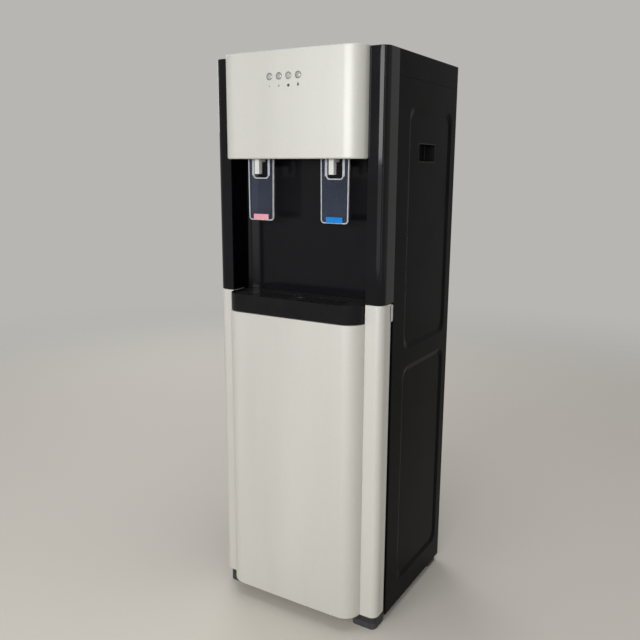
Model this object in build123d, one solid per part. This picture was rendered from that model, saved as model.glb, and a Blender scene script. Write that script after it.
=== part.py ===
from build123d import *
from math import cos, radians, sin
import os

# Bottom load water cooler: a free-standing cabinet with a bottle bay behind a door at the bottom, a
# dispensing niche with two clear paddles above it, and the tanks, pump and cooling parts behind the niche.
# Millimetres, +Z up, +X to the user's right. Depths (y) are measured back from the front plane of the
# two corner pillars; save() then moves everything so that the origin lies under the middle of the whole
# cooler, on the floor.

os.makedirs("parts", exist_ok=True)

# ---- cabinet ----
cabinet_width = 350.0
cabinet_depth = 314.0        # pillar front to back
pillar_width = 33.0
pillar_radius = 14.0         # vertical outer corner of a pillar
rear_radius = 8.0            # vertical rear corner of the cabinet
bow_rise = 31.0              # how far the bowed fronts stand out from the pillars
bow_bulge = 1.5              # rise of the bow between its rounded ends
bow_corner = 32.0            # radius of the bow's rounded ends
wall = 3.0                   # moulded wall
fit_gap = 0.2                # between pieces that lift or slide apart
running_gap = 0.05           # radial, pin in hole
press_gap = 0.02             # radial, pin pressed home

# ---- heights, from the floor up ----
foot_height = 12.0
plinth_height = 14.0
door_gap = 2.0               # plinth to door
door_height = 562.0          # bowed front of the door
tray_gap = 1.5               # door to drip tray
tray_height = 32.5
seam_gap = 1.0               # lower to upper pillars
niche_height = 248.0         # tray rim to the deck over the niche
head_height = 173.0          # deck to the top of the cabinet
lid_height = 42.0            # top cover's side wall
fascia_lip = 3.5             # fascia below the deck
fascia_cap = 1.5             # fascia above the cabinet's top

# ---- depths ----
door_depth = 33.0
door_shut_gap = 5.5          # door to the front frame
frame_thickness = 4.5        # front frame, up to the side panels' seam
frame_side_gap = 1.0         # front frame to the side panels
niche_depth = 50.0
niche_radius = 30.0          # rear corners of the niche
rear_return = 20.0           # side panel's flange at the back
sheet = 1.5                  # back panel

half_width = cabinet_width / 2
inner_half = half_width - wall
bow_half = half_width - pillar_width
plinth_top = foot_height + plinth_height
door_bottom = plinth_top + door_gap
door_top = door_bottom + door_height
tray_bottom = door_top + tray_gap
tray_top = tray_bottom + tray_height
upper_bottom = tray_top + seam_gap
deck_bottom = tray_top + niche_height
deck_top = deck_bottom + wall
cabinet_top = deck_bottom + head_height
lid_bottom = cabinet_top - lid_height
fascia_bottom = deck_bottom - fascia_lip
fascia_top = cabinet_top + fascia_cap
frame_front = door_depth + door_shut_gap
seam_depth = frame_front + frame_thickness
back_inside = cabinet_depth - wall - sheet

# ---- base ----
foot_inset = 5.0             # plinth and feet inside the cabinet's outline
front_foot_inset = 7.0
foot_length = 46.0
foot_width = 50.0
foot_radius = 10.0
floor_thickness = 4.0        # what the bottle stands on
base_rim = 14.0              # rim above the plinth

# ---- side panels ----
panel_bottom = 15.0
recess_front = 90.0
recess_rear_margin = 29.0    # recess to the cabinet's back
recess_bevel = 10.0
recess_depth = 3.0
recess_radius = 20.0
recess_head_margin = 45.0    # upper recess to the top cover
recess_rib = 32.0            # between the two recesses
lower_recess_drop = 95.0     # its top below the door's top
lower_recess_bottom = 60.0
pocket_front = 137.0
pocket_length = 78.0
pocket_drop = 139.0          # its floor below the top cover
pocket_height = 34.0
pocket_depth = 22.0
pocket_wall = 2.0
pocket_radius = 4.0
pocket_flange = 5.0

# ---- door ----
jamb_width = 26.0            # front frame beside the bay
frame_rail = 8.0             # front frame over the bay
frame_sill = 18.0            # front frame under the bay
web_depth = 9.0              # front face of the door frame's web
hinge_inset = 12.0           # pin axis from the cabinet's left side
hinge_depth = 16.0
pin_radius = 3.0
pin_reach = 12.0             # pin inside the door
boss_radius = 7.0
cap_length = 22.0            # closed end of a door pillar
liner_wall = 2.5
tab_height = 30.0            # finger tab on the free edge
tab_drop = 2.0
tab_gap = 1.0                # to the side panel
front_lap = 1.0              # bowed front below the door's frame

# ---- drip tray ----
tray_clearance = 1.5         # each side, to the pillars
tray_wall = 3.0
shelf_thickness = 2.5
skirt_gap = 1.0
grille_thickness = 2.5
grille_drop = 3.0            # below the tray's rim
ledge_width = 4.0
slot_width = 3.5
slot_pitch = 8.0
slot_length = 52.0
slot_count = 25
grip_radius = 9.0

# ---- taps ----
tap_spread = 77.0            # tap centre from the middle
paddle_width = 54.0
paddle_drop = 109.0          # below the fascia's lip
paddle_thickness = 3.0
paddle_depth = 5.0           # its middle plane
paddle_corner = 6.0
fork_width = 30.0
fork_drop = 36.0             # floor of the paddle's opening, below the deck
paddle_clearance = 0.5       # hub to the deck's slot
pivot_rise = 20.0            # pivot above the deck
paddle_pin_radius = 2.0
hub_radius = 5.0
bridge_height = 7.0
lug_thickness = 3.0
lug_gap = 1.5
nozzle_width = 10.0
nozzle_drop = 29.5           # below the deck
nozzle_front = -9.5
nozzle_depth = 11.0
spout_radius = 3.0
neck_half = 4.0
valve_half = 12.0
valve_front = 14.0
valve_gap = 2.0              # to the wall behind the fascia
valve_drop = 16.0
valve_rise = 26.0
stem_rise = 10.0             # stem axis above the deck
stem_radius = 2.0
stem_head_radius = 3.0
stem_head = 2.0
stem_gap = 0.3
stem_travel = 5.0
tag_width = 32.5
tag_height = 10.2
tag_thickness = 1.0

# ---- indicators ----
lens_radius = 6.0
lens_drop = 42.2             # below the fascia's top
lens_first = -32.4
lens_pitch = 19.2
lens_count = 4
lens_dome = 1.0
lamp_length = 3.0
board_margin = 10.0
board_thickness = 1.6

# ---- bottle probe, parked in the bay's rear right corner ----
probe_margin = 36.0          # its axis from the side panel's inside and from the back
cap_radius = 27.0
cap_height = 28.0
neck_radius = 10.0
neck_height = 16.0
flange_radius = 17.0
flange_thickness = 3.0
clip_drop = 23.0             # clip's plate under the partition
clip_half = 22.0
clip_wall = 2.0
tube_radius = 6.0
tube_length = 464.0
strainer_radius = 10.0
strainer_height = 14.0
hose_radius = 5.0
hose_bore = 3.5
barb_radius = 4.0
barb_length = 12.0
grommet_gap = 1.5
barb_lead = 25.0             # straight hose in front of the pump
suction_reach = 60.0         # sideways from the probe to the pump's line
suction_rise = 8.0           # above the pump's axis, over the probe
suction_fall = 4.0
suction_bend = 30.0
suction_sweep = 90.0

# ---- pump ----
pump_x = -60.0               # joint of motor and head
pump_gap = 29.5              # pump's head to the back panel
pump_height = 23.5           # its axis above the partition
pump_head_length = 35.0
pump_head_width = 36.0
pump_head_height = 40.0
pump_motor_length = 45.0
pump_motor_radius = 15.0
pump_plate = 3.5

# ---- tanks ----
tank_wall = 1.2
niche_gap = 17.0             # niche to foam
foam_gap = 11.0              # foam to the side panel
foam_left = -2.0             # leftmost place of the foam
cold_height = 190.0
foam_floor = 14.5
foam_lid = 15.5
foam_side = 20.0
foam_radius = 12.0
stub_rise = 14.0             # of a pipe stub above the lid or tank
stub_radius = 5.0
pipe_reach = 3.0             # cold tank's transfer pipe beyond the foam
inlet_offset = -23.0
outlet_offset = 20.0
hot_niche_gap = 34.0         # niche to jacket
jacket_gap = 21.0            # jacket to the side panel
tank_gap = 20.0              # foam to jacket
hot_height = 160.0
jacket_thickness = 8.0
leg_height = 14.5
leg_radius = 6.0
transfer_rise = 48.0
feed_rise = 35.0             # feed hose's crest above the cold tank's stub
feed_bend = 30.0
tap_lead = 40.0              # straight hose behind a tap valve
tap_riser_bend = 30.0
tap_lead_bend = 60.0
drain_rise = 28.0
drain_offset = -40.0
drain_radius = 6.0
drain_cap_radius = 11.0
drain_cap_reach = 8.0        # behind the cabinet

# ---- thermoelectric cooling ----
cooler_rise = 94.0           # its middle above the foam's floor
module_half = 20.0
module_thickness = 4.0
block_depth = 24.0
sink_half = 45.0
sink_base = 5.0
fin_depth = 25.0
fin_thickness = 1.5
fin_count = 9
fan_gap = 16.5               # fan to the back panel
fan_half = 46.0
fan_depth = 25.0
fan_rim = 3.0
fan_tip_gap = 2.0
fan_end_gap = 1.0
fan_hub = 17.0
fan_shaft = 2.0
blade_count = 7
blade_pitch = 35.0
blade_chord = 16.0
blade_thickness = 1.6
spider_thickness = 3.0
spider_width = 6.0

# ---- back ----
vent_rows = 16
vent_drop = 60.5             # lowest slot below the fan's middle
vent_pitch = 12.0
vent_height = 5.0
vent_half = 55.0
screw_head = 2.0
screw_head_radius = 4.5
screw_low = 60.0
screw_middle = 520.0
screw_head_margin = 28.0     # top screws below the top cover

# ---- electrics ----
switch_drop = 115.0          # below the cabinet's top
switch_margin = 45.0         # outer switch from the cabinet's left side
switch_pitch = 34.0
switch_half = 7.0            # inside of the bezel
switch_rise = 9.5
bezel_wall = 1.5
bezel_flange = 2.5
bezel_depth = 12.0
bezel_lip = 1.5
rocker_thickness = 6.0
rocker_gap = 0.3
rocker_rest = 10.0           # degrees, switched off
rocker_end_gap = 2.0
rocker_radius = 1.0
rocker_pin_radius = 1.0
inlet_margin = 55.0          # from the cabinet's left side
inlet_lift = 108.5           # above the partition
inlet_half = 14.0
inlet_rise = 10.0
inlet_length = 28.0
inlet_wall = 2.0
inlet_cup = 17.0
inlet_flange = 4.0
inlet_pin = 11.0
inlet_pin_pitch = 7.0
inlet_pin_width = 2.0
inlet_pin_height = 4.0
inlet_pin_drop = 2.0
inlet_earth_rise = 2.5
control_half = 60.0
control_lift = 55.0          # above the deck
control_height = 80.0
standoff = 6.0
standoff_radius = 3.0
standoff_margin = 5.0
transformer_left = -50.0
transformer_rise = 20.0
transformer_width = 38.0
transformer_height = 35.0
transformer_depth = 30.0
relay_left = 0.0
relay_pitch = 24.0
relay_rise = 10.0
relay_width = 19.0
relay_height = 16.0
relay_depth = 15.0
capacitor_first = 5.0
capacitor_pitch = 17.0
capacitor_rise = 55.0
capacitor_radius = 6.0
capacitor_length = 20.0
magnet_drop = 50.0           # its foot below the door's top
magnet_length = 30.0
magnet_width = 16.0
strike_thickness = 0.8
strike_gap = 0.5

# the origin lies under the middle of the box from the bow to the drain cap
origin_depth = (cabinet_depth + drain_cap_reach - bow_rise) / 2
partition_top = tray_bottom
partition_bottom = partition_top - shelf_thickness
cold_bottom = partition_top + foam_floor
hot_bottom = partition_top + leg_height
cooler_height = partition_top + cooler_rise
frame_bottom = door_bottom + front_lap
magnet_height = door_top - magnet_drop
recess_back = cabinet_depth - recess_rear_margin
lower_recess_top = door_top - lower_recess_drop
upper_recess_bottom = lower_recess_top + recess_rib
upper_recess_top = lid_bottom - recess_head_margin
pocket_bottom = lid_bottom - pocket_drop
valve_back = seam_depth - wall - valve_gap
lens_height = fascia_top - lens_drop
pump_depth = back_inside - pump_gap - pump_head_width / 2
vent_bottom = cooler_height - vent_drop
screw_high = lid_bottom - screw_head_margin
switch_height = cabinet_top - switch_drop
switch_first = switch_margin - half_width
rocker_half_height = switch_rise - rocker_end_gap
inlet_x = inlet_margin - half_width
inlet_height = partition_top + inlet_lift
control_bottom = deck_top + control_lift
fan_bore = fan_half - fan_rim
fan_tip = fan_bore - fan_tip_gap

# each tank fills the room between the niche, the sides and what stands behind it
side_face = inner_half - recess_depth
cold_back = (back_inside - fan_gap - fan_depth - fin_depth - sink_base - module_thickness
             - block_depth)
cold_front = niche_depth + wall + niche_gap + foam_side
cold_right = side_face - foam_gap - foam_side
cold_left = foam_left + foam_side
cold_radius = min(cold_back - cold_front, cold_right - cold_left) / 2
cold_x = cold_right - cold_radius
cold_depth = cold_back - cold_radius
hot_depth = cold_depth
hot_front = niche_depth + wall + hot_niche_gap + jacket_thickness
hot_left = jacket_gap + jacket_thickness - side_face
hot_right = foam_left - tank_gap - jacket_thickness
hot_radius = min(hot_depth - hot_front, (hot_right - hot_left) / 2)
hot_x = hot_left + hot_radius


def block(x0, x1, y0, y1, z0, z1):
    size = Box(x1 - x0, y1 - y0, z1 - z0)
    return Pos((x0 + x1) / 2, (y0 + y1) / 2, (z0 + z1) / 2) * size


def rod(x, y, z0, z1, radius):
    return Pos(x, y, (z0 + z1) / 2) * Cylinder(radius, z1 - z0)


def rod_x(x0, x1, y, z, radius):
    return Pos((x0 + x1) / 2, y, z) * Rot(0, 90, 0) * Cylinder(radius, x1 - x0)


def rod_y(x, y0, y1, z, radius):
    return Pos(x, (y0 + y1) / 2, z) * Rot(90, 0, 0) * Cylinder(radius, y1 - y0)


def rounded_plan(x0, x1, y0, y1, corners):
    # a rectangle seen from above, with a radius at each named corner
    plan = Pos((x0 + x1) / 2, (y0 + y1) / 2) * Rectangle(x1 - x0, y1 - y0)
    for x, y, radius in corners:
        plan = fillet(plan.vertices().sort_by_distance((x, y, 0))[0], radius)
    return plan


def raised(plan, z0, z1):
    return Pos(0, 0, z0) * extrude(plan, z1 - z0)


def bow(half, back, z0, z1, inset=0.0):
    # bowed plan of the fascia, the tray and the door's front, cut off at depth back
    side = half - inset
    front = inset - bow_rise
    shoulder = front + bow_bulge
    rear = bow_corner + inset
    sides = Polyline((-side, shoulder), (-side, rear), (side, rear), (side, shoulder))
    bulge = ThreePointArc((-side, shoulder), (0, front), (side, shoulder))
    plan = make_face(sides + bulge)
    for x in (-side, side):
        plan = fillet(plan.vertices().sort_by_distance((x, shoulder, 0))[0], bow_corner - inset)
    return raised(plan, z0, z1) & block(-half, half, -bow_rise, back, z0, z1)


def niche_plan(inset, front, half):
    # plan of the niche's rounded rear, inset to the inside (negative to the outside)
    side = half - inset
    rear = niche_depth - inset
    corner = niche_radius - inset
    return rounded_plan(-side, side, front, rear, [(-side, rear, corner), (side, rear, corner)])


def mirrored(part):
    return mirror(part, about=Plane.YZ)


def both(part):
    return part + mirrored(part)


def group(parts):
    return Compound(children=list(parts))


def hose(name, points, bends, outer, bore):
    # straight runs joined by tangent arcs; the printed ratio compares its volume with section x length
    route = FilletPolyline(*points, radius=bends)
    section = Plane(origin=route @ 0, z_dir=route % 0) * (Circle(outer) - Circle(bore))
    body = sweep(section, path=route)
    expected = section.area * route.length
    print(f"{name}: bends {bends}, length {route.length:.0f}, volume ratio {body.volume / expected:.4f}")
    return body


def save(name, part):
    export_step(Pos(0, -origin_depth, 0) * part, f"parts/{name}.step")


# ---- base ----
def foot(x_sign, y0):
    x0, x1 = sorted((x_sign * (half_width - foot_inset - foot_width), x_sign * (half_width - foot_inset)))
    corners = [(x, y, foot_radius) for x in (x0, x1) for y in (y0, y0 + foot_length)]
    return raised(rounded_plan(x0, x1, y0, y0 + foot_length, corners), 0, foot_height)


def feet():
    rear = back_inside - foot_length
    return group(foot(side, y) for side in (-1, 1) for y in (front_foot_inset, rear))


def base_pan():
    side = half_width - foot_inset
    front = front_foot_inset
    corners = [(x, y, foot_radius) for x in (-side, side) for y in (front, back_inside)]
    pan = raised(rounded_plan(-side, side, front, back_inside, corners), foot_height, plinth_top)
    rim_top = plinth_top + base_rim
    pan += raised(inside_plan(seam_depth, back_inside), plinth_top, rim_top)
    floor = plinth_top - floor_thickness
    bay = inner_half - wall
    pan -= block(-bay, bay, seam_depth + wall, back_inside - wall, plinth_top, rim_top)
    inside = side - wall
    pan -= block(-inside, inside, seam_depth, back_inside - wall, foot_height, floor)
    return pan - rod(hinge_x(), hinge_depth, foot_height, plinth_top, pin_radius + press_gap)


# ---- side panels, lid and back ----
def side_wall(z0, z1):
    # right-hand wall with its rounded rear corner and return flange
    inner = half_width - rear_return
    outside = rounded_plan(inner, half_width, seam_depth, cabinet_depth,
                           [(half_width, cabinet_depth, rear_radius)])
    inside = rounded_plan(inner, inner_half, seam_depth, cabinet_depth - wall,
                          [(inner_half, cabinet_depth - wall, rear_radius - wall)])
    return raised(outside - inside, z0, z1)


def inside_plan(front, back):
    # everything between the side panels' inner faces, clear of their rounded rear corners
    corner = rear_radius - wall
    return rounded_plan(-inner_half, inner_half, front, back,
                        [(-inner_half, back, corner), (inner_half, back, corner)])


def recess(z0, z1, face):
    # bevelled shallow recess, with its mouth in the plane x = face
    middle = (face, (recess_front + recess_back) / 2, (z0 + z1) / 2)
    mouth = Plane(origin=middle, x_dir=(0, 1, 0), z_dir=(-1, 0, 0))
    length, height = recess_back - recess_front, z1 - z0
    wide = mouth * RectangleRounded(length, height, recess_radius)
    narrow = mouth.offset(recess_depth) * RectangleRounded(
        length - 2 * recess_bevel, height - 2 * recess_bevel, recess_radius - recess_bevel)
    return loft([wide, narrow])


def pocket_block(x0, x1, grow=0.0):
    # the handle pocket's outline between two x planes
    shape = block(x0, x1, pocket_front - grow, pocket_front + pocket_length + grow,
                  pocket_bottom - grow, pocket_bottom + pocket_height + grow)
    return fillet(shape.edges().filter_by(Axis.X), pocket_radius + grow)


def side_panel():
    panel = side_wall(panel_bottom, lid_bottom)
    for z0, z1 in ((lower_recess_bottom, lower_recess_top), (upper_recess_bottom, upper_recess_top)):
        panel += recess(z0, z1, inner_half)
        panel -= recess(z0, z1, half_width)
    return panel - pocket_block(inner_half - wall - recess_depth, half_width)


def handle_pocket():
    floor = half_width - recess_depth
    back = floor - pocket_depth - pocket_wall
    cup = pocket_block(back, floor)
    seat = inner_half - recess_depth
    cup += pocket_block(seat - pocket_wall, seat, pocket_flange)
    return cup - pocket_block(back + pocket_wall, floor, -pocket_wall)


def top_cover():
    outline = [(-half_width, cabinet_depth, rear_radius), (half_width, cabinet_depth, rear_radius)]
    outside = rounded_plan(-half_width, half_width, seam_depth, cabinet_depth, outline)
    rear = cabinet_depth - wall
    hollow = [(-inner_half, rear, rear_radius - wall), (inner_half, rear, rear_radius - wall)]
    inside = rounded_plan(-inner_half, inner_half, seam_depth, rear, hollow)
    cover = raised(outside, lid_bottom, cabinet_top)
    return cover - raised(inside, lid_bottom, cabinet_top - wall)


def back_panel():
    side = inner_half - (rear_radius - wall)
    panel = block(-side, side, back_inside, back_inside + sheet, panel_bottom, lid_bottom)
    for row in range(vent_rows):
        z = vent_bottom + row * vent_pitch
        panel -= block(cold_x - vent_half, cold_x + vent_half, back_inside, back_inside + sheet,
                       z, z + vent_height)
    for x in switch_places():
        panel -= bezel_block(x, back_inside, back_inside + sheet, bezel_wall)
    panel -= block(inlet_x - inlet_half, inlet_x + inlet_half, back_inside, back_inside + sheet,
                   inlet_height - inlet_rise, inlet_height + inlet_rise)
    return panel - rod_y(drain_x(), back_inside, back_inside + sheet, drain_height(), drain_radius)


def back_panel_screws():
    x = half_width - rear_return / 2
    reach = cabinet_depth + screw_head
    screws = []
    for side in (-1, 1):
        for z in (screw_low, screw_middle, screw_high):
            head = rod_y(side * x, cabinet_depth, reach, z, screw_head_radius)
            screws.append(head)
    return group(screws)


# ---- front mouldings ----
def pillar_plan(depth):
    # right-hand corner pillar: front wall and outer return
    plan = rounded_plan(bow_half, half_width, 0, depth, [(half_width, 0, pillar_radius)])
    hollow = rounded_plan(bow_half, inner_half, wall, depth,
                          [(inner_half, wall, pillar_radius - wall)])
    return plan - hollow


def pillar_end(depth, z0, z1):
    plan = rounded_plan(bow_half, half_width, 0, depth, [(half_width, 0, pillar_radius)])
    return raised(plan, z0, z1)


def upper_pillar():
    pillar = raised(pillar_plan(seam_depth), upper_bottom, cabinet_top)
    pillar += pillar_end(seam_depth, upper_bottom, upper_bottom + wall)
    pillar -= block(bow_half, bow_half + wall, wall, seam_depth, upper_bottom, upper_bottom + wall)
    pillar += pillar_end(seam_depth, cabinet_top - wall, cabinet_top)
    return pillar


def upper_pillar_left():
    hole = rod(hinge_x(), hinge_depth, upper_bottom, upper_bottom + wall, pin_radius + press_gap)
    return mirrored(upper_pillar()) - hole


def front_frame():
    # ring round the bottle bay; its jambs reach up to the upper pillars
    outer = inner_half - frame_side_gap
    jamb = block(outer - jamb_width, outer, frame_front, seam_depth, plinth_top, upper_bottom)
    rail_top = tray_bottom - shelf_thickness
    rail = block(-outer, outer, frame_front, seam_depth, rail_top - frame_rail, rail_top)
    sill = block(-outer, outer, frame_front, seam_depth, plinth_top, plinth_top + frame_sill)
    return both(jamb) + rail + sill


def niche_liner():
    # rounded back and side walls of the niche; below the tray's rim only the rear part goes down
    hollow = niche_plan(0, wall, bow_half)
    outside = niche_plan(-wall, wall, bow_half)
    ring = outside - hollow
    upper = raised(ring, upper_bottom, deck_bottom)
    skirt = raised(ring, tray_bottom + shelf_thickness, upper_bottom)
    skirt &= block(-half_width, half_width, frame_front, cabinet_depth, tray_bottom, upper_bottom)
    jamb = block(bow_half, half_width, frame_front, seam_depth, tray_bottom, upper_bottom)
    return upper + skirt - both(jamb)


def head_wall():
    # wall and top plate behind the fascia
    back = block(-bow_half, bow_half, seam_depth - wall, seam_depth, deck_top, cabinet_top)
    for x in (-tap_spread, tap_spread):
        back -= rod_y(x, seam_depth - wall, seam_depth, valve_outlet(), barb_radius + fit_gap)
    return back + block(-bow_half, bow_half, 0, seam_depth, cabinet_top - wall, cabinet_top)


def tap_deck():
    deck = bow(bow_half, 0, deck_bottom, deck_top, wall)
    deck += raised(niche_plan(-wall, 0, bow_half - wall), deck_bottom, deck_top)
    lug_half = paddle_width / 2 + lug_gap
    slot_front = paddle_depth - hub_radius - paddle_clearance
    pivot = pivot_height()
    for x in (-tap_spread, tap_spread):
        deck -= block(x - lug_half, x + lug_half, slot_front, valve_front, deck_bottom, deck_top)
        deck -= block(x - valve_half, x + valve_half, nozzle_front, valve_back, deck_bottom, deck_top)
        for side in (-1, 1):
            x0, x1 = sorted((x + side * lug_half, x + side * (lug_half + lug_thickness)))
            lug = block(x0, x1, paddle_depth - hub_radius, paddle_depth + hub_radius,
                        deck_top, pivot)
            lug += rod_x(x0, x1, paddle_depth, pivot, hub_radius)
            deck += lug - rod_x(x0, x1, paddle_depth, pivot, paddle_pin_radius)
    return deck


def fascia():
    shell = bow(bow_half, 0, fascia_bottom, fascia_top)
    shell -= bow(bow_half, 0, fascia_bottom, fascia_top - wall, wall)
    for x in lens_places():
        shell -= rod_y(x, -bow_rise, wall - bow_rise + bow_bulge, lens_height, lens_radius)
    return shell


# ---- indicators ----
def lens_places():
    return [lens_first + i * lens_pitch for i in range(lens_count)]


def indicator_lenses():
    front = -bow_rise + lens_dome / 2
    back = wall - bow_rise + bow_bulge
    lenses = []
    for x in lens_places():
        lens = rod_y(x, front, back, lens_height, lens_radius)
        lens = fillet(lens.edges().filter_by(GeomType.CIRCLE).sort_by(Axis.Y)[0], lens_dome)
        lenses.append(lens)
    return group(lenses)


def indicator_board():
    front = wall - bow_rise + bow_bulge
    rear = front + lamp_length
    places = lens_places()
    board = block(places[0] - board_margin, places[-1] + board_margin, rear, rear + board_thickness,
                  lens_height - board_margin, lens_height + board_margin)
    for x in places:
        board += rod_y(x, front, rear, lens_height, lens_radius / 2)
    return board


# ---- taps ----
def pivot_height():
    return deck_top + pivot_rise


def nozzle(x):
    tip = deck_bottom - nozzle_drop
    body = block(x - nozzle_width / 2, x + nozzle_width / 2, nozzle_front, nozzle_front + nozzle_depth,
                 tip, deck_top)
    body = fillet(body.edges().filter_by(Axis.Z), spout_radius / 2)
    neck_z = deck_bottom - nozzle_width / 2
    body += rod_y(x, nozzle_front + nozzle_depth, valve_front, neck_z, neck_half)
    return body - rod(x, nozzle_front + nozzle_depth / 2, tip, neck_z, spout_radius)


def valve_outlet():
    return deck_top + valve_rise - valve_half


def tap_valve(x):
    body = block(x - valve_half, x + valve_half, valve_front, valve_back,
                 deck_bottom - valve_drop, deck_top + valve_rise)
    body += rod_y(x, valve_back, valve_back + barb_length, valve_outlet(), barb_radius)
    axis = deck_top + stem_rise
    bore = stem_radius + running_gap
    return body - rod_y(x, valve_front, valve_back - wall, axis, bore)


def valve_stem(x):
    axis = deck_top + stem_rise
    front = paddle_depth + paddle_thickness / 2 + stem_gap
    back = valve_back - wall - stem_travel
    head = rod_y(x, front, front + stem_head, axis, stem_head_radius)
    return rod_y(x, front, back, axis, stem_radius) + head


def paddle(x):
    half = paddle_width / 2
    y0, y1 = paddle_depth - paddle_thickness / 2, paddle_depth + paddle_thickness / 2
    bottom = fascia_bottom - paddle_drop
    pivot = pivot_height()
    plate = block(x - half, x + half, y0, y1, bottom, pivot)
    low = plate.edges().filter_by(Axis.Y).group_by(Axis.Z)[0]
    plate = fillet(low, paddle_corner)
    gap = fork_width / 2
    bridge = deck_top + stem_rise
    plate -= block(x - gap, x + gap, y0, y1, deck_bottom - fork_drop, bridge - bridge_height / 2)
    plate -= block(x - gap, x + gap, y0, y1, bridge + bridge_height / 2, pivot)
    for side in (-1, 1):
        x0, x1 = sorted((x + side * gap, x + side * half))
        plate += rod_x(x0, x1, paddle_depth, pivot, hub_radius)
    hole = rod_x(x - half, x + half, paddle_depth, pivot, paddle_pin_radius + running_gap)
    return plate - hole


def paddle_pins():
    reach = paddle_width / 2 + lug_gap + lug_thickness
    pins = [rod_x(x - reach, x + reach, paddle_depth, pivot_height(), paddle_pin_radius)
            for x in (-tap_spread, tap_spread)]
    return group(pins)


def tag(x):
    front = paddle_depth - paddle_thickness / 2
    bottom = fascia_bottom - paddle_drop + 1
    return block(x - tag_width / 2, x + tag_width / 2, front - tag_thickness, front,
                 bottom, bottom + tag_height)


# ---- drip tray ----
def tray_half():
    return bow_half - tray_clearance


def tray_body(z0, z1, inset=0.0):
    # bowed front joined to the rounded rear that fits the niche
    front = bow(tray_half(), 0, z0, z1, inset)
    rear = raised(niche_plan(inset, 0, tray_half()), z0, z1)
    return front + Pos(0, -tray_clearance / 2, 0) * rear


def tray_shelf():
    # fixed ledge under the tray, hidden behind the tray's skirt
    inset = tray_wall + skirt_gap
    shelf = tray_body(tray_bottom, tray_bottom + shelf_thickness, inset)
    rear = block(-bow_half - wall, bow_half + wall, seam_depth, niche_depth + 2 * wall,
                 tray_bottom, tray_bottom + shelf_thickness)
    return shelf + rear


def drip_tray():
    floor = tray_bottom + shelf_thickness + fit_gap
    seat = tray_top - grille_drop - grille_thickness
    tray = tray_body(floor, tray_top)
    tray -= tray_body(floor + tray_wall, seat, tray_wall + ledge_width)
    tray -= tray_body(floor + tray_wall, seat - tray_wall, tray_wall)
    tray -= tray_body(seat, tray_top, tray_wall)
    # the skirt ends where the rear corners begin, so that it slides off the shelf
    skirt = tray_body(tray_bottom, floor) - tray_body(tray_bottom, floor, tray_wall)
    skirt_end = niche_depth - niche_radius - tray_clearance
    skirt &= block(-half_width, half_width, -bow_rise, skirt_end, tray_bottom, floor)
    return tray + skirt


def drip_grille():
    bottom = tray_top - grille_drop - grille_thickness
    grille = tray_body(bottom, bottom + grille_thickness, tray_wall + fit_gap)
    middle = (niche_depth - bow_rise) / 2
    for i in range(slot_count):
        x = (i - (slot_count - 1) / 2) * slot_pitch
        if abs(x) > grip_radius:
            grille -= block(x - slot_width / 2, x + slot_width / 2, middle - slot_length / 2,
                            middle + slot_length / 2, bottom, bottom + grille_thickness)
    return grille - rod(0, middle, bottom, bottom + grille_thickness, grip_radius)


# ---- door ----
def hinge_x():
    return hinge_inset - half_width


def door_pillar():
    pillar = raised(pillar_plan(door_depth), frame_bottom, tray_top)
    pillar += block(bow_half, bow_half + wall, wall, web_depth + wall, frame_bottom, door_top)
    return pillar + pillar_end(cap_length, tray_top - wall, tray_top)


def finger_tab():
    top = tray_top - tab_drop
    tab = block(inner_half, half_width, door_depth - wall, seam_depth - tab_gap, top - tab_height, top)
    return fillet(tab.edges().filter_by(Axis.X), wall)


def door_frame():
    corners = [(x, 0, pillar_radius) for x in (-half_width, half_width)]
    rail = raised(rounded_plan(-half_width, half_width, 0, door_depth, corners),
                  frame_bottom, frame_bottom + wall)
    rail -= block(-bow_half, bow_half, 0, web_depth, frame_bottom, frame_bottom + wall)
    frame = both(door_pillar()) + finger_tab() + rail
    frame += block(-bow_half, bow_half, web_depth, web_depth + wall, frame_bottom, door_top)
    frame += block(-bow_half, bow_half, web_depth, door_depth, door_top - wall, door_top)
    x, y = hinge_x(), hinge_depth
    frame += rod(x, y, frame_bottom, frame_bottom + pin_reach, boss_radius)
    frame += rod(x, y, tray_top - pin_reach, tray_top, boss_radius)
    return frame - rod(x, y, frame_bottom, tray_top, pin_radius + running_gap)


def door_front():
    shell = bow(bow_half, web_depth, door_bottom, door_top)
    return shell - bow(bow_half, web_depth, door_bottom + wall, door_top - wall, wall)


def door_liner():
    bottom, top = frame_bottom + wall, door_top - wall
    front = web_depth + wall
    side = inner_half
    plan = rounded_plan(-side, side, front, door_depth, [(-side, front, wall), (side, front, wall)])
    liner = raised(plan, bottom, top)
    liner -= block(liner_wall - side, side - liner_wall, front, door_depth - liner_wall,
                   bottom + liner_wall, top - liner_wall)
    liner -= rod(hinge_x(), hinge_depth, bottom, bottom + pin_reach, boss_radius + fit_gap)
    return liner


def hinge_pins():
    x, y = hinge_x(), hinge_depth
    lower = rod(x, y, foot_height, frame_bottom + pin_reach, pin_radius)
    upper = rod(x, y, tray_top - pin_reach, upper_bottom + wall, pin_radius)
    return group([lower, upper])


def magnet_catch():
    outer = inner_half - frame_side_gap
    front = door_depth + strike_thickness + strike_gap
    return block(outer - magnet_width, outer, front, frame_front, magnet_height,
                 magnet_height + magnet_length)


def strike_plate():
    outer = inner_half - frame_side_gap
    return block(outer - magnet_width, outer, door_depth, door_depth + strike_thickness,
                 magnet_height, magnet_height + magnet_length)


# ---- partition over the bay ----
def probe_x():
    return inner_half - probe_margin


def probe_depth():
    return back_inside - probe_margin


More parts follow.
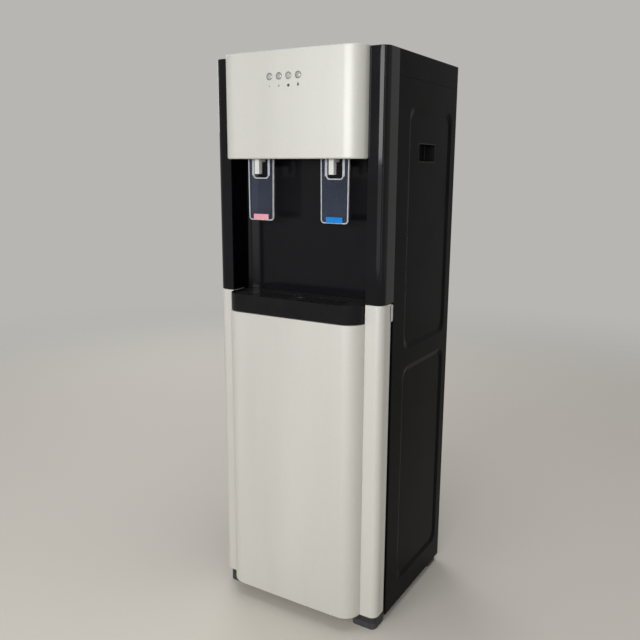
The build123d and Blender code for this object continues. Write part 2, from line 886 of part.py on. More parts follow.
def partition():
    plate = block(-side_face, side_face, seam_depth, back_inside, partition_bottom, partition_top)
    plate += block(-bow_half, bow_half, frame_front, seam_depth, partition_bottom, partition_top)
    x, y = probe_x(), probe_depth()
    plate -= rod(x, y, partition_bottom, partition_top, hose_radius + grommet_gap)
    seat = partition_bottom - clip_drop
    inner = clip_half - clip_wall
    clip = block(x - clip_half, x + clip_half, y - clip_half, y + clip_half,
                 seat - clip_wall, partition_bottom)
    clip -= block(x - inner, x + inner, y - clip_half, y + clip_half, seat, partition_bottom)
    slot = neck_radius + fit_gap
    clip -= rod(x, y, seat - clip_wall, seat, slot)
    clip -= block(x - slot, x + slot, y - clip_half, y, seat - clip_wall, seat)
    return plate + clip


# ---- bottle probe ----
def probe_seat():
    # underside of the flange that hangs in the partition's clip
    return partition_bottom - clip_drop


def probe_cap():
    x, y, seat = probe_x(), probe_depth(), probe_seat()
    neck_bottom = seat - neck_height
    cap = rod(x, y, neck_bottom - cap_height, neck_bottom, cap_radius)
    cap -= rod(x, y, neck_bottom - cap_height, neck_bottom - wall, cap_radius - wall)
    cap += rod(x, y, neck_bottom - cap_height, neck_bottom, tube_radius + wall)
    cap += rod(x, y, neck_bottom, seat, neck_radius)
    cap += rod(x, y, seat, seat + flange_thickness, flange_radius)
    cap += rod(x, y, seat + flange_thickness, seat + flange_thickness + barb_length, barb_radius)
    cap -= rod(x, y, neck_bottom - cap_height, seat, tube_radius)
    return cap - rod(x, y, seat, seat + flange_thickness + barb_length, barb_radius / 2)


def probe_tube():
    x, y = probe_x(), probe_depth()
    top = probe_seat() - flange_thickness
    low = top - tube_length
    tube = rod(x, y, low, top, tube_radius)
    tube += rod(x, y, low, low + strainer_height, strainer_radius)
    return tube - rod(x, y, low, top, tube_radius - clip_wall)


def suction_hose():
    x, y = probe_x(), probe_depth()
    start = probe_seat() + flange_thickness + barb_length
    level = partition_top + pump_height
    barb = pump_x + pump_head_length + barb_length
    points = [(x, y, start), (x, y, level + suction_rise),
              (x - suction_reach, pump_depth, level + suction_fall),
              (barb + barb_lead, pump_depth, level), (barb, pump_depth, level)]
    return hose("suction_hose", points, [suction_bend, suction_sweep, suction_sweep],
                hose_radius, hose_bore)


# ---- pump ----
def water_pump():
    level = partition_top + pump_height
    across, half_height = pump_head_width / 2, pump_head_height / 2
    head_end = pump_x + pump_head_length
    pump = block(pump_x, head_end, pump_depth - across, pump_depth + across,
                 level - half_height, level + half_height)
    pump = fillet(pump.edges().filter_by(Axis.X), wall)
    pump += rod_x(pump_x - pump_motor_length, pump_x, pump_depth, level, pump_motor_radius)
    pump += block(pump_x - pump_motor_length, head_end, pump_depth - pump_motor_radius,
                  pump_depth + pump_motor_radius, partition_top, partition_top + pump_plate)
    pump += block(pump_x - pump_motor_length, pump_x, pump_depth - pump_motor_radius / 2,
                  pump_depth + pump_motor_radius / 2, partition_top, level)
    pump += rod_x(head_end, head_end + barb_length, pump_depth, level, barb_radius)
    outlet = pump_x + pump_head_length / 2
    top = level + half_height
    return pump + rod(outlet, pump_depth, top, top + barb_length, barb_radius)


def feed_hose():
    outlet = pump_x + pump_head_length / 2
    start = partition_top + pump_height + pump_head_height / 2 + barb_length
    x = cold_x + inlet_offset
    top = lid_top() + stub_rise
    crest = top + feed_rise
    points = [(outlet, pump_depth, start), (outlet, pump_depth, crest), (x, cold_depth, crest),
              (x, cold_depth, top)]
    return hose("feed_hose", points, [feed_bend, feed_bend], hose_radius, hose_bore)


# ---- cold tank ----
def foam_top():
    return cold_bottom + cold_height


def lid_top():
    return foam_top() + foam_lid


def foam_plan():
    side = cold_radius + foam_side
    corners = [(cold_x + i * side, cold_depth + j * side, foam_radius) for i in (-1, 1) for j in (-1, 1)]
    return rounded_plan(cold_x - side, cold_x + side, cold_depth - side, cold_depth + side, corners)


def cold_tank():
    # bare shell with two pipes through the lid and one to the hot tank
    top = lid_top() + stub_rise
    level = cold_bottom + transfer_rise
    tank = rod(cold_x, cold_depth, cold_bottom, foam_top(), cold_radius)
    tank += rod_x(transfer_start(), cold_x, cold_depth, level, stub_radius)
    hollow = rod(cold_x, cold_depth, cold_bottom + tank_wall, foam_top() - tank_wall,
                 cold_radius - tank_wall)
    hollow += rod_x(transfer_start(), cold_x, cold_depth, level, hose_bore)
    for offset in (inlet_offset, outlet_offset):
        tank += rod(cold_x + offset, cold_depth, cold_bottom, top, stub_radius)
        hollow += rod(cold_x + offset, cold_depth, cold_bottom + tank_wall, top, hose_bore)
    return tank - hollow


def transfer_start():
    # joint of the two tanks' pipes, in the gap between foam and jacket
    return cold_x - cold_radius - foam_side - pipe_reach


def tank_insulation():
    body = raised(foam_plan(), partition_top, foam_top())
    body -= rod(cold_x, cold_depth, cold_bottom, foam_top(), cold_radius + fit_gap)
    body -= rod_x(cold_x - cold_radius - foam_side, cold_x, cold_depth, cold_bottom + transfer_rise,
                  stub_radius + fit_gap)
    window = module_half + fit_gap
    body -= block(cold_x - window, cold_x + window, cold_depth, cold_depth + cold_radius + foam_side,
                  cooler_height - window, cooler_height + window)
    lid = raised(foam_plan(), foam_top(), lid_top())
    for offset in (inlet_offset, outlet_offset):
        lid -= rod(cold_x + offset, cold_depth, foam_top(), lid_top(), stub_radius + fit_gap)
    return group([body, lid])


def cold_block():
    front = cold_depth + cold_radius
    return block(cold_x - module_half, cold_x + module_half, front, front + block_depth,
                 cooler_height - module_half, cooler_height + module_half)


def module_front():
    return cold_depth + cold_radius + block_depth


def cooling_module():
    front = module_front()
    return block(cold_x - module_half, cold_x + module_half, front, front + module_thickness,
                 cooler_height - module_half, cooler_height + module_half)


def heat_sink():
    front = module_front() + module_thickness
    low, high = cooler_height - sink_half, cooler_height + sink_half
    sink = block(cold_x - sink_half, cold_x + sink_half, front, front + sink_base, low, high)
    pitch = (2 * sink_half - fin_thickness) / (fin_count - 1)
    for i in range(fin_count):
        x = cold_x - sink_half + i * pitch
        sink += block(x, x + fin_thickness, front + sink_base, front + sink_base + fin_depth, low, high)
    return sink


# ---- fan ----
def fan_front():
    return module_front() + module_thickness + sink_base + fin_depth


def fan_frame():
    front, back = fan_front(), fan_front() + fan_depth
    frame = block(cold_x - fan_half, cold_x + fan_half, front, back,
                  cooler_height - fan_half, cooler_height + fan_half)
    frame = fillet(frame.edges().filter_by(Axis.Y), wall)
    frame -= rod_y(cold_x, front, back, cooler_height, fan_bore)
    spider = rod_y(cold_x, back - spider_thickness, back, cooler_height, fan_hub)
    arm = block(-spider_width / 2, spider_width / 2, back - spider_thickness, back, 0,
                fan_bore + fan_rim / 2)
    for i in range(4):
        spider += Pos(cold_x, 0, cooler_height) * Rot(0, 45 + 90 * i, 0) * arm
    bore = rod_y(cold_x, back - spider_thickness, back, cooler_height, fan_shaft + running_gap)
    return frame + spider - bore


def fan_rotor():
    front = fan_front() + fan_end_gap
    back = fan_front() + fan_depth - spider_thickness - fan_end_gap
    hub = rod_y(cold_x, front, back, cooler_height, fan_hub)
    middle = (front + back) / 2
    span = fan_tip - fan_hub + wall
    blade = Pos(0, 0, fan_hub - wall + span / 2) * Rot(0, 0, 90 - blade_pitch) * Box(
        blade_thickness, blade_chord, span)
    for i in range(blade_count):
        hub += Pos(cold_x, middle, cooler_height) * Rot(0, 360 / blade_count * i, 0) * blade
    return hub + rod_y(cold_x, back, fan_front() + fan_depth, cooler_height, fan_shaft)


# ---- hot tank ----
def hot_top():
    return hot_bottom + hot_height


def hot_tank():
    # bare shell on three legs, with a pipe on top, one from the cold tank and one to the drain
    top = hot_top() + stub_rise
    level = cold_bottom + transfer_rise
    tank = rod(hot_x, hot_depth, hot_bottom, hot_top(), hot_radius)
    tank += rod(hot_x, hot_depth, hot_bottom, top, stub_radius)
    tank += rod_x(hot_x, transfer_start(), hot_depth, level, stub_radius)
    tank += rod_y(drain_x(), hot_depth, cabinet_depth, drain_height(), drain_radius)
    for i in range(3):
        angle = radians(90 + 120 * i)
        reach = hot_radius - leg_radius - tank_wall
        tank += rod(hot_x + reach * cos(angle), hot_depth + reach * sin(angle), partition_top,
                    hot_bottom + tank_wall, leg_radius)
    hollow = rod(hot_x, hot_depth, hot_bottom + tank_wall, hot_top() - tank_wall, hot_radius - tank_wall)
    hollow += rod(hot_x, hot_depth, hot_bottom + tank_wall, top, hose_bore)
    hollow += rod_x(hot_x, transfer_start(), hot_depth, level, hose_bore)
    hollow += rod_y(drain_x(), hot_depth, cabinet_depth, drain_height(), hose_bore)
    return tank - hollow


def hot_jacket():
    jacket = rod(hot_x, hot_depth, hot_bottom, hot_top(), hot_radius + jacket_thickness)
    jacket -= rod(hot_x, hot_depth, hot_bottom, hot_top(), hot_radius + fit_gap)
    jacket -= rod_y(drain_x(), hot_depth, hot_depth + hot_radius + jacket_thickness, drain_height(),
                    drain_radius + fit_gap)
    return jacket - rod_x(hot_x, transfer_start(), hot_depth, cold_bottom + transfer_rise,
                          stub_radius + fit_gap)


def drain_x():
    return hot_x + drain_offset


def drain_height():
    return partition_top + drain_rise


def drain_cap():
    face = back_inside + sheet
    cap = rod_y(drain_x(), face, cabinet_depth + drain_cap_reach, drain_height(), drain_cap_radius)
    return cap - rod_y(drain_x(), face, cabinet_depth, drain_height(), drain_radius + running_gap)


def tap_hose(name, tap_x, tank_x, tank_y, tank_top):
    # from a tank's top stub up and forward to the back of a tap valve
    start = tank_top + stub_rise
    level = valve_outlet()
    barb = valve_back + barb_length
    points = [(tank_x, tank_y, start), (tank_x, tank_y, level), (tap_x, barb + tap_lead, level),
              (tap_x, barb, level)]
    return hose(name, points, [tap_riser_bend, tap_lead_bend], hose_radius, hose_bore)


def tap_hoses():
    return group([tap_hose("cold hose", tap_spread, cold_x + outlet_offset, cold_depth, lid_top()),
                  tap_hose("hot hose", -tap_spread, hot_x, hot_depth, hot_top())])


# ---- electrics ----
def switch_places():
    return [switch_first, switch_first + switch_pitch]


def bezel_block(x, y0, y1, grow):
    return block(x - switch_half - grow, x + switch_half + grow, y0, y1,
                 switch_height - switch_rise - grow, switch_height + switch_rise + grow)


def switch_bezels():
    face = back_inside + sheet
    bezels = []
    for x in switch_places():
        bezel = bezel_block(x, face - bezel_depth, face, bezel_wall)
        bezel += bezel_block(x, face, face + bezel_lip, bezel_flange)
        bezel -= bezel_block(x, face - bezel_depth + bezel_wall, face + bezel_lip, 0)
        bezels.append(bezel)
    pin = rocker_pin_radius
    return group(bezel + rod_x(x - switch_half, x + switch_half, rocker_depth(), switch_height, pin)
                 for bezel, x in zip(bezels, switch_places()))


def rocker_depth():
    return back_inside + sheet - rocker_pin_radius / 2


def rocker(x):
    half = switch_half - rocker_gap
    body = Box(2 * half, rocker_thickness, 2 * rocker_half_height)
    body = fillet(body.edges().filter_by(Axis.X), rocker_radius)
    body = Pos(x, rocker_depth(), switch_height) * Rot(rocker_rest, 0, 0) * body
    return body - rod_x(x - half, x + half, rocker_depth(), switch_height, rocker_pin_radius + running_gap)


def power_inlet():
    face = back_inside + sheet
    inlet = block(inlet_x - inlet_half, inlet_x + inlet_half, face - inlet_length, face,
                  inlet_height - inlet_rise, inlet_height + inlet_rise)
    across, up = inlet_half + inlet_flange, inlet_rise + inlet_flange
    inlet += block(inlet_x - across, inlet_x + across, face, face + inlet_wall,
                   inlet_height - up, inlet_height + up)
    inner, rise = inlet_half - inlet_wall, inlet_rise - inlet_wall
    floor = face + inlet_wall - inlet_cup
    inlet -= block(inlet_x - inner, inlet_x + inner, floor, face + inlet_wall, inlet_height - rise,
                   inlet_height + rise)
    for i in (-1, 0, 1):
        x = inlet_x + i * inlet_pin_pitch
        z = inlet_height - inlet_pin_drop if i else inlet_height + inlet_earth_rise
        inlet += block(x - inlet_pin_width / 2, x + inlet_pin_width / 2, floor, floor + inlet_pin,
                       z - inlet_pin_height / 2, z + inlet_pin_height / 2)
    return inlet


def control_board():
    front = seam_depth + standoff
    back = front + board_thickness
    top = control_bottom + control_height
    board = block(-control_half, control_half, front, back, control_bottom, top)
    reach = control_half - standoff_margin
    for x in (-reach, reach):
        for z in (control_bottom + standoff_margin, top - standoff_margin):
            board += rod_y(x, seam_depth, front, z, standoff_radius)
    z = control_bottom + transformer_rise
    board += block(transformer_left, transformer_left + transformer_width, back,
                   back + transformer_depth, z, z + transformer_height)
    z = control_bottom + relay_rise
    for i in range(2):
        x = relay_left + i * relay_pitch
        board += block(x, x + relay_width, back, back + relay_depth, z, z + relay_height)
    for i in range(3):
        board += rod_y(capacitor_first + i * capacitor_pitch, back, back + capacitor_length,
                       control_bottom + capacitor_rise, capacitor_radius)
    return board


save("feet", feet())
save("base_pan", base_pan())
save("side_panel_right", side_panel())
save("side_panel_left", mirrored(side_panel()))
save("handle_pocket_right", handle_pocket())
save("handle_pocket_left", mirrored(handle_pocket()))
save("top_cover", top_cover())
save("back_panel", back_panel())
save("back_panel_screws", back_panel_screws())
save("front_frame", front_frame())
save("upper_pillar_right", upper_pillar())
save("upper_pillar_left", upper_pillar_left())
save("head_wall", head_wall())
save("niche_liner", niche_liner())
save("tap_deck", tap_deck())
save("fascia", fascia())
save("indicator_lenses", indicator_lenses())
save("indicator_board", indicator_board())
for name, x in (("hot", -tap_spread), ("cold", tap_spread)):
    save(f"{name}_nozzle", nozzle(x))
    save(f"{name}_tap_valve", tap_valve(x))
    save(f"{name}_valve_stem", valve_stem(x))
    save(f"{name}_paddle", paddle(x))
    save(f"{name}_tag", tag(x))
save("paddle_pins", paddle_pins())
save("tray_shelf", tray_shelf())
save("drip_tray", drip_tray())
save("drip_grille", drip_grille())
save("door_frame", door_frame())
save("door_front", door_front())
save("door_liner", door_liner())
save("hinge_pins", hinge_pins())
save("magnet_catch", magnet_catch())
save("strike_plate", strike_plate())
save("partition", partition())
save("probe_cap", probe_cap())
save("probe_tube", probe_tube())
save("suction_hose", suction_hose())
save("water_pump", water_pump())
save("feed_hose", feed_hose())
save("cold_tank", cold_tank())
save("tank_insulation", tank_insulation())
save("cold_block", cold_block())
save("cooling_module", cooling_module())
save("heat_sink", heat_sink())
save("fan_frame", fan_frame())
save("fan_rotor", fan_rotor())
save("hot_tank", hot_tank())
save("hot_jacket", hot_jacket())
save("drain_cap", drain_cap())
save("tap_hoses", tap_hoses())
save("switch_bezels", switch_bezels())
for name, x in zip(("hot_switch", "cold_switch"), switch_places()):
    save(name, rocker(x))
save("power_inlet", power_inlet())
save("control_board", control_board())
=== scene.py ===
from math import atan2, pi, radians, sqrt

import bmesh
import bpy
from mathutils import Matrix, Vector


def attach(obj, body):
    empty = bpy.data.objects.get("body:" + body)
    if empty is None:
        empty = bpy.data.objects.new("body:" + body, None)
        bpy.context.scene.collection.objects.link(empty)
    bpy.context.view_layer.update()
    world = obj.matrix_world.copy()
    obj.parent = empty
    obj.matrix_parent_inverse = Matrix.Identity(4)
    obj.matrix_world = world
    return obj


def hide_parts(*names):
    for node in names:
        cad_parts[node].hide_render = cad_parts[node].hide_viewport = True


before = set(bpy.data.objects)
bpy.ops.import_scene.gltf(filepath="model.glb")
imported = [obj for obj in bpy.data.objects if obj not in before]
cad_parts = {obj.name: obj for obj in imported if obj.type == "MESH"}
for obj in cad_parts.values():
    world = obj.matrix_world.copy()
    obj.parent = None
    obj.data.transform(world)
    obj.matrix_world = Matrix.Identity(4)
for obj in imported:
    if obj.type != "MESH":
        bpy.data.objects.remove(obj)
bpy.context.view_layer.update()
print("frame loaded:", len(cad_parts), "parts")


near = 1e-5     # metres within which two places count as the same
mostly = 0.9    # share of a direction that counts as along an axis
flat = 0.5      # degrees within which two facets count as one flat face


# small moves used all over
def deselectAll():
    if bpy.context.object and bpy.context.object.mode != "OBJECT":
        bpy.ops.object.mode_set(mode="OBJECT")
    bpy.ops.object.select_all(action="DESELECT")


def workOn(piece):
    deselectAll()
    piece.select_set(True)
    bpy.context.view_layer.objects.active = piece


def edit(piece):
    workOn(piece)
    bpy.ops.object.mode_set(mode="EDIT")


def nameActive(name):
    # place and size go into the mesh, so the object itself sits at the origin
    bpy.ops.object.transform_apply(location=True, rotation=True, scale=True)
    piece = bpy.context.object
    piece.name = piece.data.name = name
    return piece


def addBlock(name, low, high):
    deselectAll()
    bpy.ops.mesh.primitive_cube_add(size=1, location=[(a + b) / 2 for a, b in zip(low, high)])
    bpy.context.object.scale = [b - a for a, b in zip(low, high)]
    return nameActive(name)


def addRod(name, middle, radius, length, axis="Z", sides=48):
    turn = {"X": (0, pi / 2, 0), "Y": (pi / 2, 0, 0), "Z": (0, 0, 0)}[axis]
    deselectAll()
    bpy.ops.mesh.primitive_cylinder_add(vertices=sides, radius=radius, depth=length,
                                        location=middle, rotation=turn)
    return nameActive(name)


def addPoint(name, place):
    # a plane pulled together into the single point that an outline starts from
    deselectAll()
    bpy.ops.mesh.primitive_plane_add(size=0.001, location=place)
    piece = nameActive(name)
    edit(piece)
    bpy.ops.mesh.select_mode(type="VERT")
    bpy.ops.mesh.select_all(action="SELECT")
    bpy.ops.mesh.merge(type="CENTER")
    return piece


def copyOf(piece, name, shift=(0, 0, 0), flip=False):
    # a copy with a mesh of its own, moved along or turned over to the cooler's other side
    twin = bpy.data.objects.new(name, piece.data.copy())
    bpy.context.scene.collection.objects.link(twin)
    workOn(twin)
    twin.location = shift
    if flip:
        twin.scale = (-1, 1, 1)
    nameActive(name)
    if flip:
        tidyNormals(twin)
    return twin


def softened(node, name, width):
    # a moulded part with its sharp edges broken
    piece = copyOf(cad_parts[node], name)
    mergeFlats(piece, near / 2)
    roundEdges(piece, width)
    smooth(piece)
    return piece


def along(axis):
    # passes edges that run along an axis
    return lambda middle, direction: abs(getattr(direction, axis)) > mostly


def facing(axis, sign):
    # passes faces that look one way along an axis
    return lambda middle, normal: getattr(normal, axis) * sign > mostly


def pick(piece, test, kind="FACE"):
    # selects the faces or edges whose middle and direction pass the test
    bpy.ops.mesh.select_mode(type=kind)
    bpy.ops.mesh.select_all(action="DESELECT")
    mesh = bmesh.from_edit_mesh(piece.data)
    if kind == "FACE":
        for face in mesh.faces:
            face.select_set(bool(test(face.calc_center_median(), face.normal)))
    else:
        for edge in mesh.edges:
            a, b = (corner.co for corner in edge.verts)
            edge.select_set(bool(test((a + b) / 2, (b - a).normalized())))
    mesh.select_flush_mode()
    bmesh.update_edit_mesh(piece.data)


def pull(x=0.0, y=0.0, z=0.0):
    bpy.ops.mesh.extrude_region_move(TRANSFORM_OT_translate={"value": (x, y, z)})


def arc(centre, degrees, steps):
    # carries the selected point round a centre, clockwise seen from above
    bpy.ops.mesh.spin(steps=steps, angle=radians(degrees), center=centre, axis=(0, 0, 1))


def rounded(piece, test, width, segments):
    # rounds the edges that pass the test
    edit(piece)
    pick(piece, test, "EDGE")
    bpy.ops.mesh.bevel(offset=width, segments=segments, affect="EDGES")
    bpy.ops.object.mode_set(mode="OBJECT")


def openUp(piece, test):
    # takes away the faces that the moulding doesn't have
    edit(piece)
    pick(piece, test)
    bpy.ops.mesh.delete(type="FACE")
    bpy.ops.object.mode_set(mode="OBJECT")


def modify(piece, kind, **settings):
    workOn(piece)
    modifier = piece.modifiers.new(kind.title(), kind)
    for key, value in settings.items():
        setattr(modifier, key, value)
    bpy.ops.object.modifier_apply(modifier=modifier.name)


def thicken(piece, wall):
    # gives the skin its moulded wall, on the inside
    modify(piece, "SOLIDIFY", thickness=wall, offset=-1, use_even_offset=True)


def cutWith(piece, cutter, operation="DIFFERENCE"):
    modify(piece, "BOOLEAN", operation=operation, object=cutter, solver="EXACT")
    bpy.data.objects.remove(cutter)


def mergeFlats(piece, gap):
    # joins points that lie closer than the gap, and the facets of each flat face
    edit(piece)
    bpy.ops.mesh.select_all(action="SELECT")
    bpy.ops.mesh.remove_doubles(threshold=gap)
    bpy.ops.mesh.dissolve_limited(angle_limit=radians(flat), delimit={"MATERIAL"})
    bpy.ops.object.mode_set(mode="OBJECT")


def roundEdges(piece, width, segments=2, limit=30):
    # breaks every edge sharper than the limit; points that a cut left on top of each other
    # would hold the rounding back, so they are joined first
    mergeFlats(piece, 3 * near)
    modify(piece, "BEVEL", width=width, segments=segments, limit_method="ANGLE",
           angle_limit=radians(limit), harden_normals=False)


def smooth(piece, angle=35):
    workOn(piece)
    bpy.ops.object.shade_smooth_by_angle(angle=radians(angle))
    modify(piece, "WEIGHTED_NORMAL", keep_sharp=True)


def join(name, pieces):
    deselectAll()
    for piece in pieces:
        piece.select_set(True)
    bpy.context.view_layer.objects.active = pieces[0]
    bpy.ops.object.join()
    return nameActive(name)


def tidyNormals(piece):
    edit(piece)
    bpy.ops.mesh.select_all(action="SELECT")
    bpy.ops.mesh.remove_doubles(threshold=near)
    bpy.ops.mesh.normals_make_consistent(inside=False)
    bpy.ops.object.mode_set(mode="OBJECT")


def place(piece, body, finish, slotName, *standsFor):
    if finish:
        piece.data.materials.clear()
        piece.data.materials.append(finishes[finish])
    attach(piece, body)
    if standsFor:
        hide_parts(*standsFor)
    print("placed", piece.name, len(piece.data.polygons), "faces")


view = {"position": (0.6981, -1.2192, 0.8545), "heading": 0.542011, "downward": 0.209953,
        "roll": 0.00534946, "lens": 40.279, "sensor": 36}


def makeCamera():
    lensData = bpy.data.cameras.new("viewpoint")
    lensData.sensor_width = view["sensor"]
    lensData.lens = view["lens"]
    viewpoint = bpy.data.objects.new("viewpoint", lensData)
    bpy.context.scene.collection.objects.link(viewpoint)
    viewpoint.matrix_world = (Matrix.Translation(view["position"])
                              @ Matrix.Rotation(view["heading"], 4, "Z")
                              @ Matrix.Rotation(pi / 2 - view["downward"], 4, "X")
                              @ Matrix.Rotation(view["roll"], 4, "Z"))
    bpy.context.scene.camera = viewpoint
    bpy.context.scene.view_settings.view_transform = "Standard"


# lamps: where each stands, its width and height in metres, its watts and its tint
stage = {"floor": "#dad5cc", "floorSize": 16, "floorFade": (0.9, 3.4), "floorRough": 0.8,
         "backdrop": "#b8b6b3", "skyLight": 0.29, "aim": (0, 0, 0.62),
         "lamps": {"frontLamp": ((0.20, -2.50, 1.16), 2.30, 0.56, 35, "#ffffff"),
                   "lowLamp": ((0.20, -2.50, 0.60), 2.30, 0.54, 4, "#ffffff"),
                   "windowLamp": ((1.66, -1.66, 1.05), 0.18, 1.5, 1.5, "#ffffff"),
                   "wallLamp": ((2.5, 0.35, 1.0), 1.0, 1.4, 0.8, "#fff0d4"),
                   "backLamp": ((-1.9, 1.9, 1.7), 1.4, 1.4, 20, "#ffffff"),
                   "topLamp": ((0.0, -0.2, 2.9), 1.6, 1.6, 14, "#ffffff")}}


def colour(code):
    # a written colour as the renderer counts light
    parts = [int(code[i:i + 2], 16) / 255 for i in (1, 3, 5)]
    light = [p / 12.92 if p <= 0.04045 else ((p + 0.055) / 1.055) ** 2.4 for p in parts]
    return (*light, 1.0)


def makeFloor():
    # pale near the cooler, and thinning out into the backdrop, so that no edge of it shows
    deselectAll()
    bpy.ops.mesh.primitive_plane_add(size=stage["floorSize"], location=(0, 0, 0))
    floor = nameActive("paleFloor")
    finish = bpy.data.materials.new("paleFloor")
    finish.use_nodes = True
    nodes, links = finish.node_tree.nodes, finish.node_tree.links
    shader = nodes["Principled BSDF"]
    shader.inputs["Base Color"].default_value = colour(stage["floor"])
    shader.inputs["Roughness"].default_value = stage["floorRough"]
    where = nodes.new("ShaderNodeTexCoord")
    reach = nodes.new("ShaderNodeVectorMath")
    reach.operation = "LENGTH"
    links.new(where.outputs["Object"], reach.inputs[0])
    fade = nodes.new("ShaderNodeMapRange")
    fade.interpolation_type = "SMOOTHSTEP"
    fade.inputs["From Min"].default_value = stage["floorFade"][0]
    fade.inputs["From Max"].default_value = stage["floorFade"][1]
    links.new(reach.outputs["Value"], fade.inputs["Value"])
    gone = nodes.new("ShaderNodeBsdfTransparent")
    mix = nodes.new("ShaderNodeMixShader")
    links.new(fade.outputs["Result"], mix.inputs["Fac"])
    links.new(shader.outputs[0], mix.inputs[1])
    links.new(gone.outputs[0], mix.inputs[2])
    links.new(mix.outputs[0], nodes["Material Output"].inputs["Surface"])
    floor.data.materials.append(finish)


def makeBackdrop():
    world = bpy.data.worlds.new("studio")
    bpy.context.scene.world = world
    world.use_nodes = True
    nodes, links = world.node_tree.nodes, world.node_tree.links
    light = nodes["Background"]
    light.inputs["Color"].default_value = (1, 1, 1, 1)
    light.inputs["Strength"].default_value = stage["skyLight"]
    shown = nodes.new("ShaderNodeBackground")
    shown.inputs["Color"].default_value = colour(stage["backdrop"])
    path = nodes.new("ShaderNodeLightPath")
    seen = path.outputs["Is Camera Ray"]
    for ray in ("Is Glossy Ray", "Is Transmission Ray"):
        either = nodes.new("ShaderNodeMath")
        either.operation = "MAXIMUM"
        links.new(seen, either.inputs[0])
        links.new(path.outputs[ray], either.inputs[1])
        seen = either.outputs[0]
    mix = nodes.new("ShaderNodeMixShader")
    links.new(seen, mix.inputs["Fac"])
    links.new(light.outputs[0], mix.inputs[1])
    links.new(shown.outputs[0], mix.inputs[2])
    links.new(mix.outputs[0], nodes["World Output"].inputs["Surface"])


def makeLamps():
    for name, (position, width, height, watts, tint) in stage["lamps"].items():
        lampData = bpy.data.lights.new(name, "AREA")
        lampData.shape = "RECTANGLE"
        lampData.size = width
        lampData.size_y = height
        lampData.energy = watts
        lampData.color = colour(tint)[:3]
        lamp = bpy.data.objects.new(name, lampData)
        bpy.context.scene.collection.objects.link(lamp)
        lamp.visible_camera = False
        aim = Vector(stage["aim"]) - Vector(position)
        turn = aim.to_track_quat("-Z", "Y").to_matrix().to_4x4()
        lamp.matrix_world = Matrix.Translation(position) @ turn


makeCamera()
makeFloor()
makeBackdrop()
makeLamps()
print("camera, floor and lamps set")


# how detailed each noise is, and the part of it that a range of colour or polish spans
noiseDetail = {"mottle": 5, "smear": 4, "grain": 2}
noiseSpan = (0.3, 0.7)
# what a look has where it says nothing else
usualLook = {"stretch": (1, 1, 1), "mottle": 30, "smear": 9, "grain": 900, "bump": 0.1,
             "depth": 0.0001, "sockets": {}}


def makeFinish(name, ownLook):
    # a mottled colour, an uneven polish and a fine grain, all in the part's own space
    look = {**usualLook, **ownLook}
    finish = bpy.data.materials.new(name)
    finish.use_nodes = True
    nodes, links = finish.node_tree.nodes, finish.node_tree.links
    shader = nodes["Principled BSDF"]
    where = nodes.new("ShaderNodeTexCoord")
    stretch = nodes.new("ShaderNodeMapping")
    stretch.inputs["Scale"].default_value = look["stretch"]
    links.new(where.outputs["Object"], stretch.inputs["Vector"])

    def noise(kind):
        cloud = nodes.new("ShaderNodeTexNoise")
        cloud.inputs["Scale"].default_value = look[kind]
        cloud.inputs["Detail"].default_value = noiseDetail[kind]
        links.new(stretch.outputs["Vector"], cloud.inputs["Vector"])
        return cloud.outputs["Fac"]

    tint = nodes.new("ShaderNodeValToRGB")
    for end, position, shade in zip(tint.color_ramp.elements, noiseSpan, ("dark", "light")):
        end.position = position
        end.color = colour(look[shade])
    links.new(noise("mottle"), tint.inputs["Fac"])
    painted = tint.outputs["Color"]
    if "flake" in look:
        # each flake in the paint is a little lighter or darker than the next
        fineness, difference = look["flake"]
        flakes = nodes.new("ShaderNodeTexVoronoi")
        flakes.inputs["Scale"].default_value = fineness
        links.new(where.outputs["Object"], flakes.inputs["Vector"])
        sparkle = nodes.new("ShaderNodeMapRange")
        sparkle.inputs["To Min"].default_value = 1 - difference
        sparkle.inputs["To Max"].default_value = 1 + difference
        links.new(flakes.outputs["Color"], sparkle.inputs["Value"])
        mixed = nodes.new("ShaderNodeVectorMath")
        mixed.operation = "SCALE"
        links.new(painted, mixed.inputs[0])
        links.new(sparkle.outputs["Result"], mixed.inputs["Scale"])
        painted = mixed.outputs["Vector"]
    links.new(painted, shader.inputs["Base Color"])

    polish = nodes.new("ShaderNodeMapRange")
    ends = (*noiseSpan, *look["rough"])
    for socket, value in zip(("From Min", "From Max", "To Min", "To Max"), ends):
        polish.inputs[socket].default_value = value
    links.new(noise("smear"), polish.inputs["Value"])
    links.new(polish.outputs["Result"], shader.inputs["Roughness"])

    bump = nodes.new("ShaderNodeBump")
    bump.inputs["Strength"].default_value = look["bump"]
    bump.inputs["Distance"].default_value = look["depth"]
    links.new(noise("grain"), bump.inputs["Height"])
    links.new(bump.outputs["Normal"], shader.inputs["Normal"])
    for socket, value in look["sockets"].items():
        shader.inputs[socket].default_value = value
    return finish


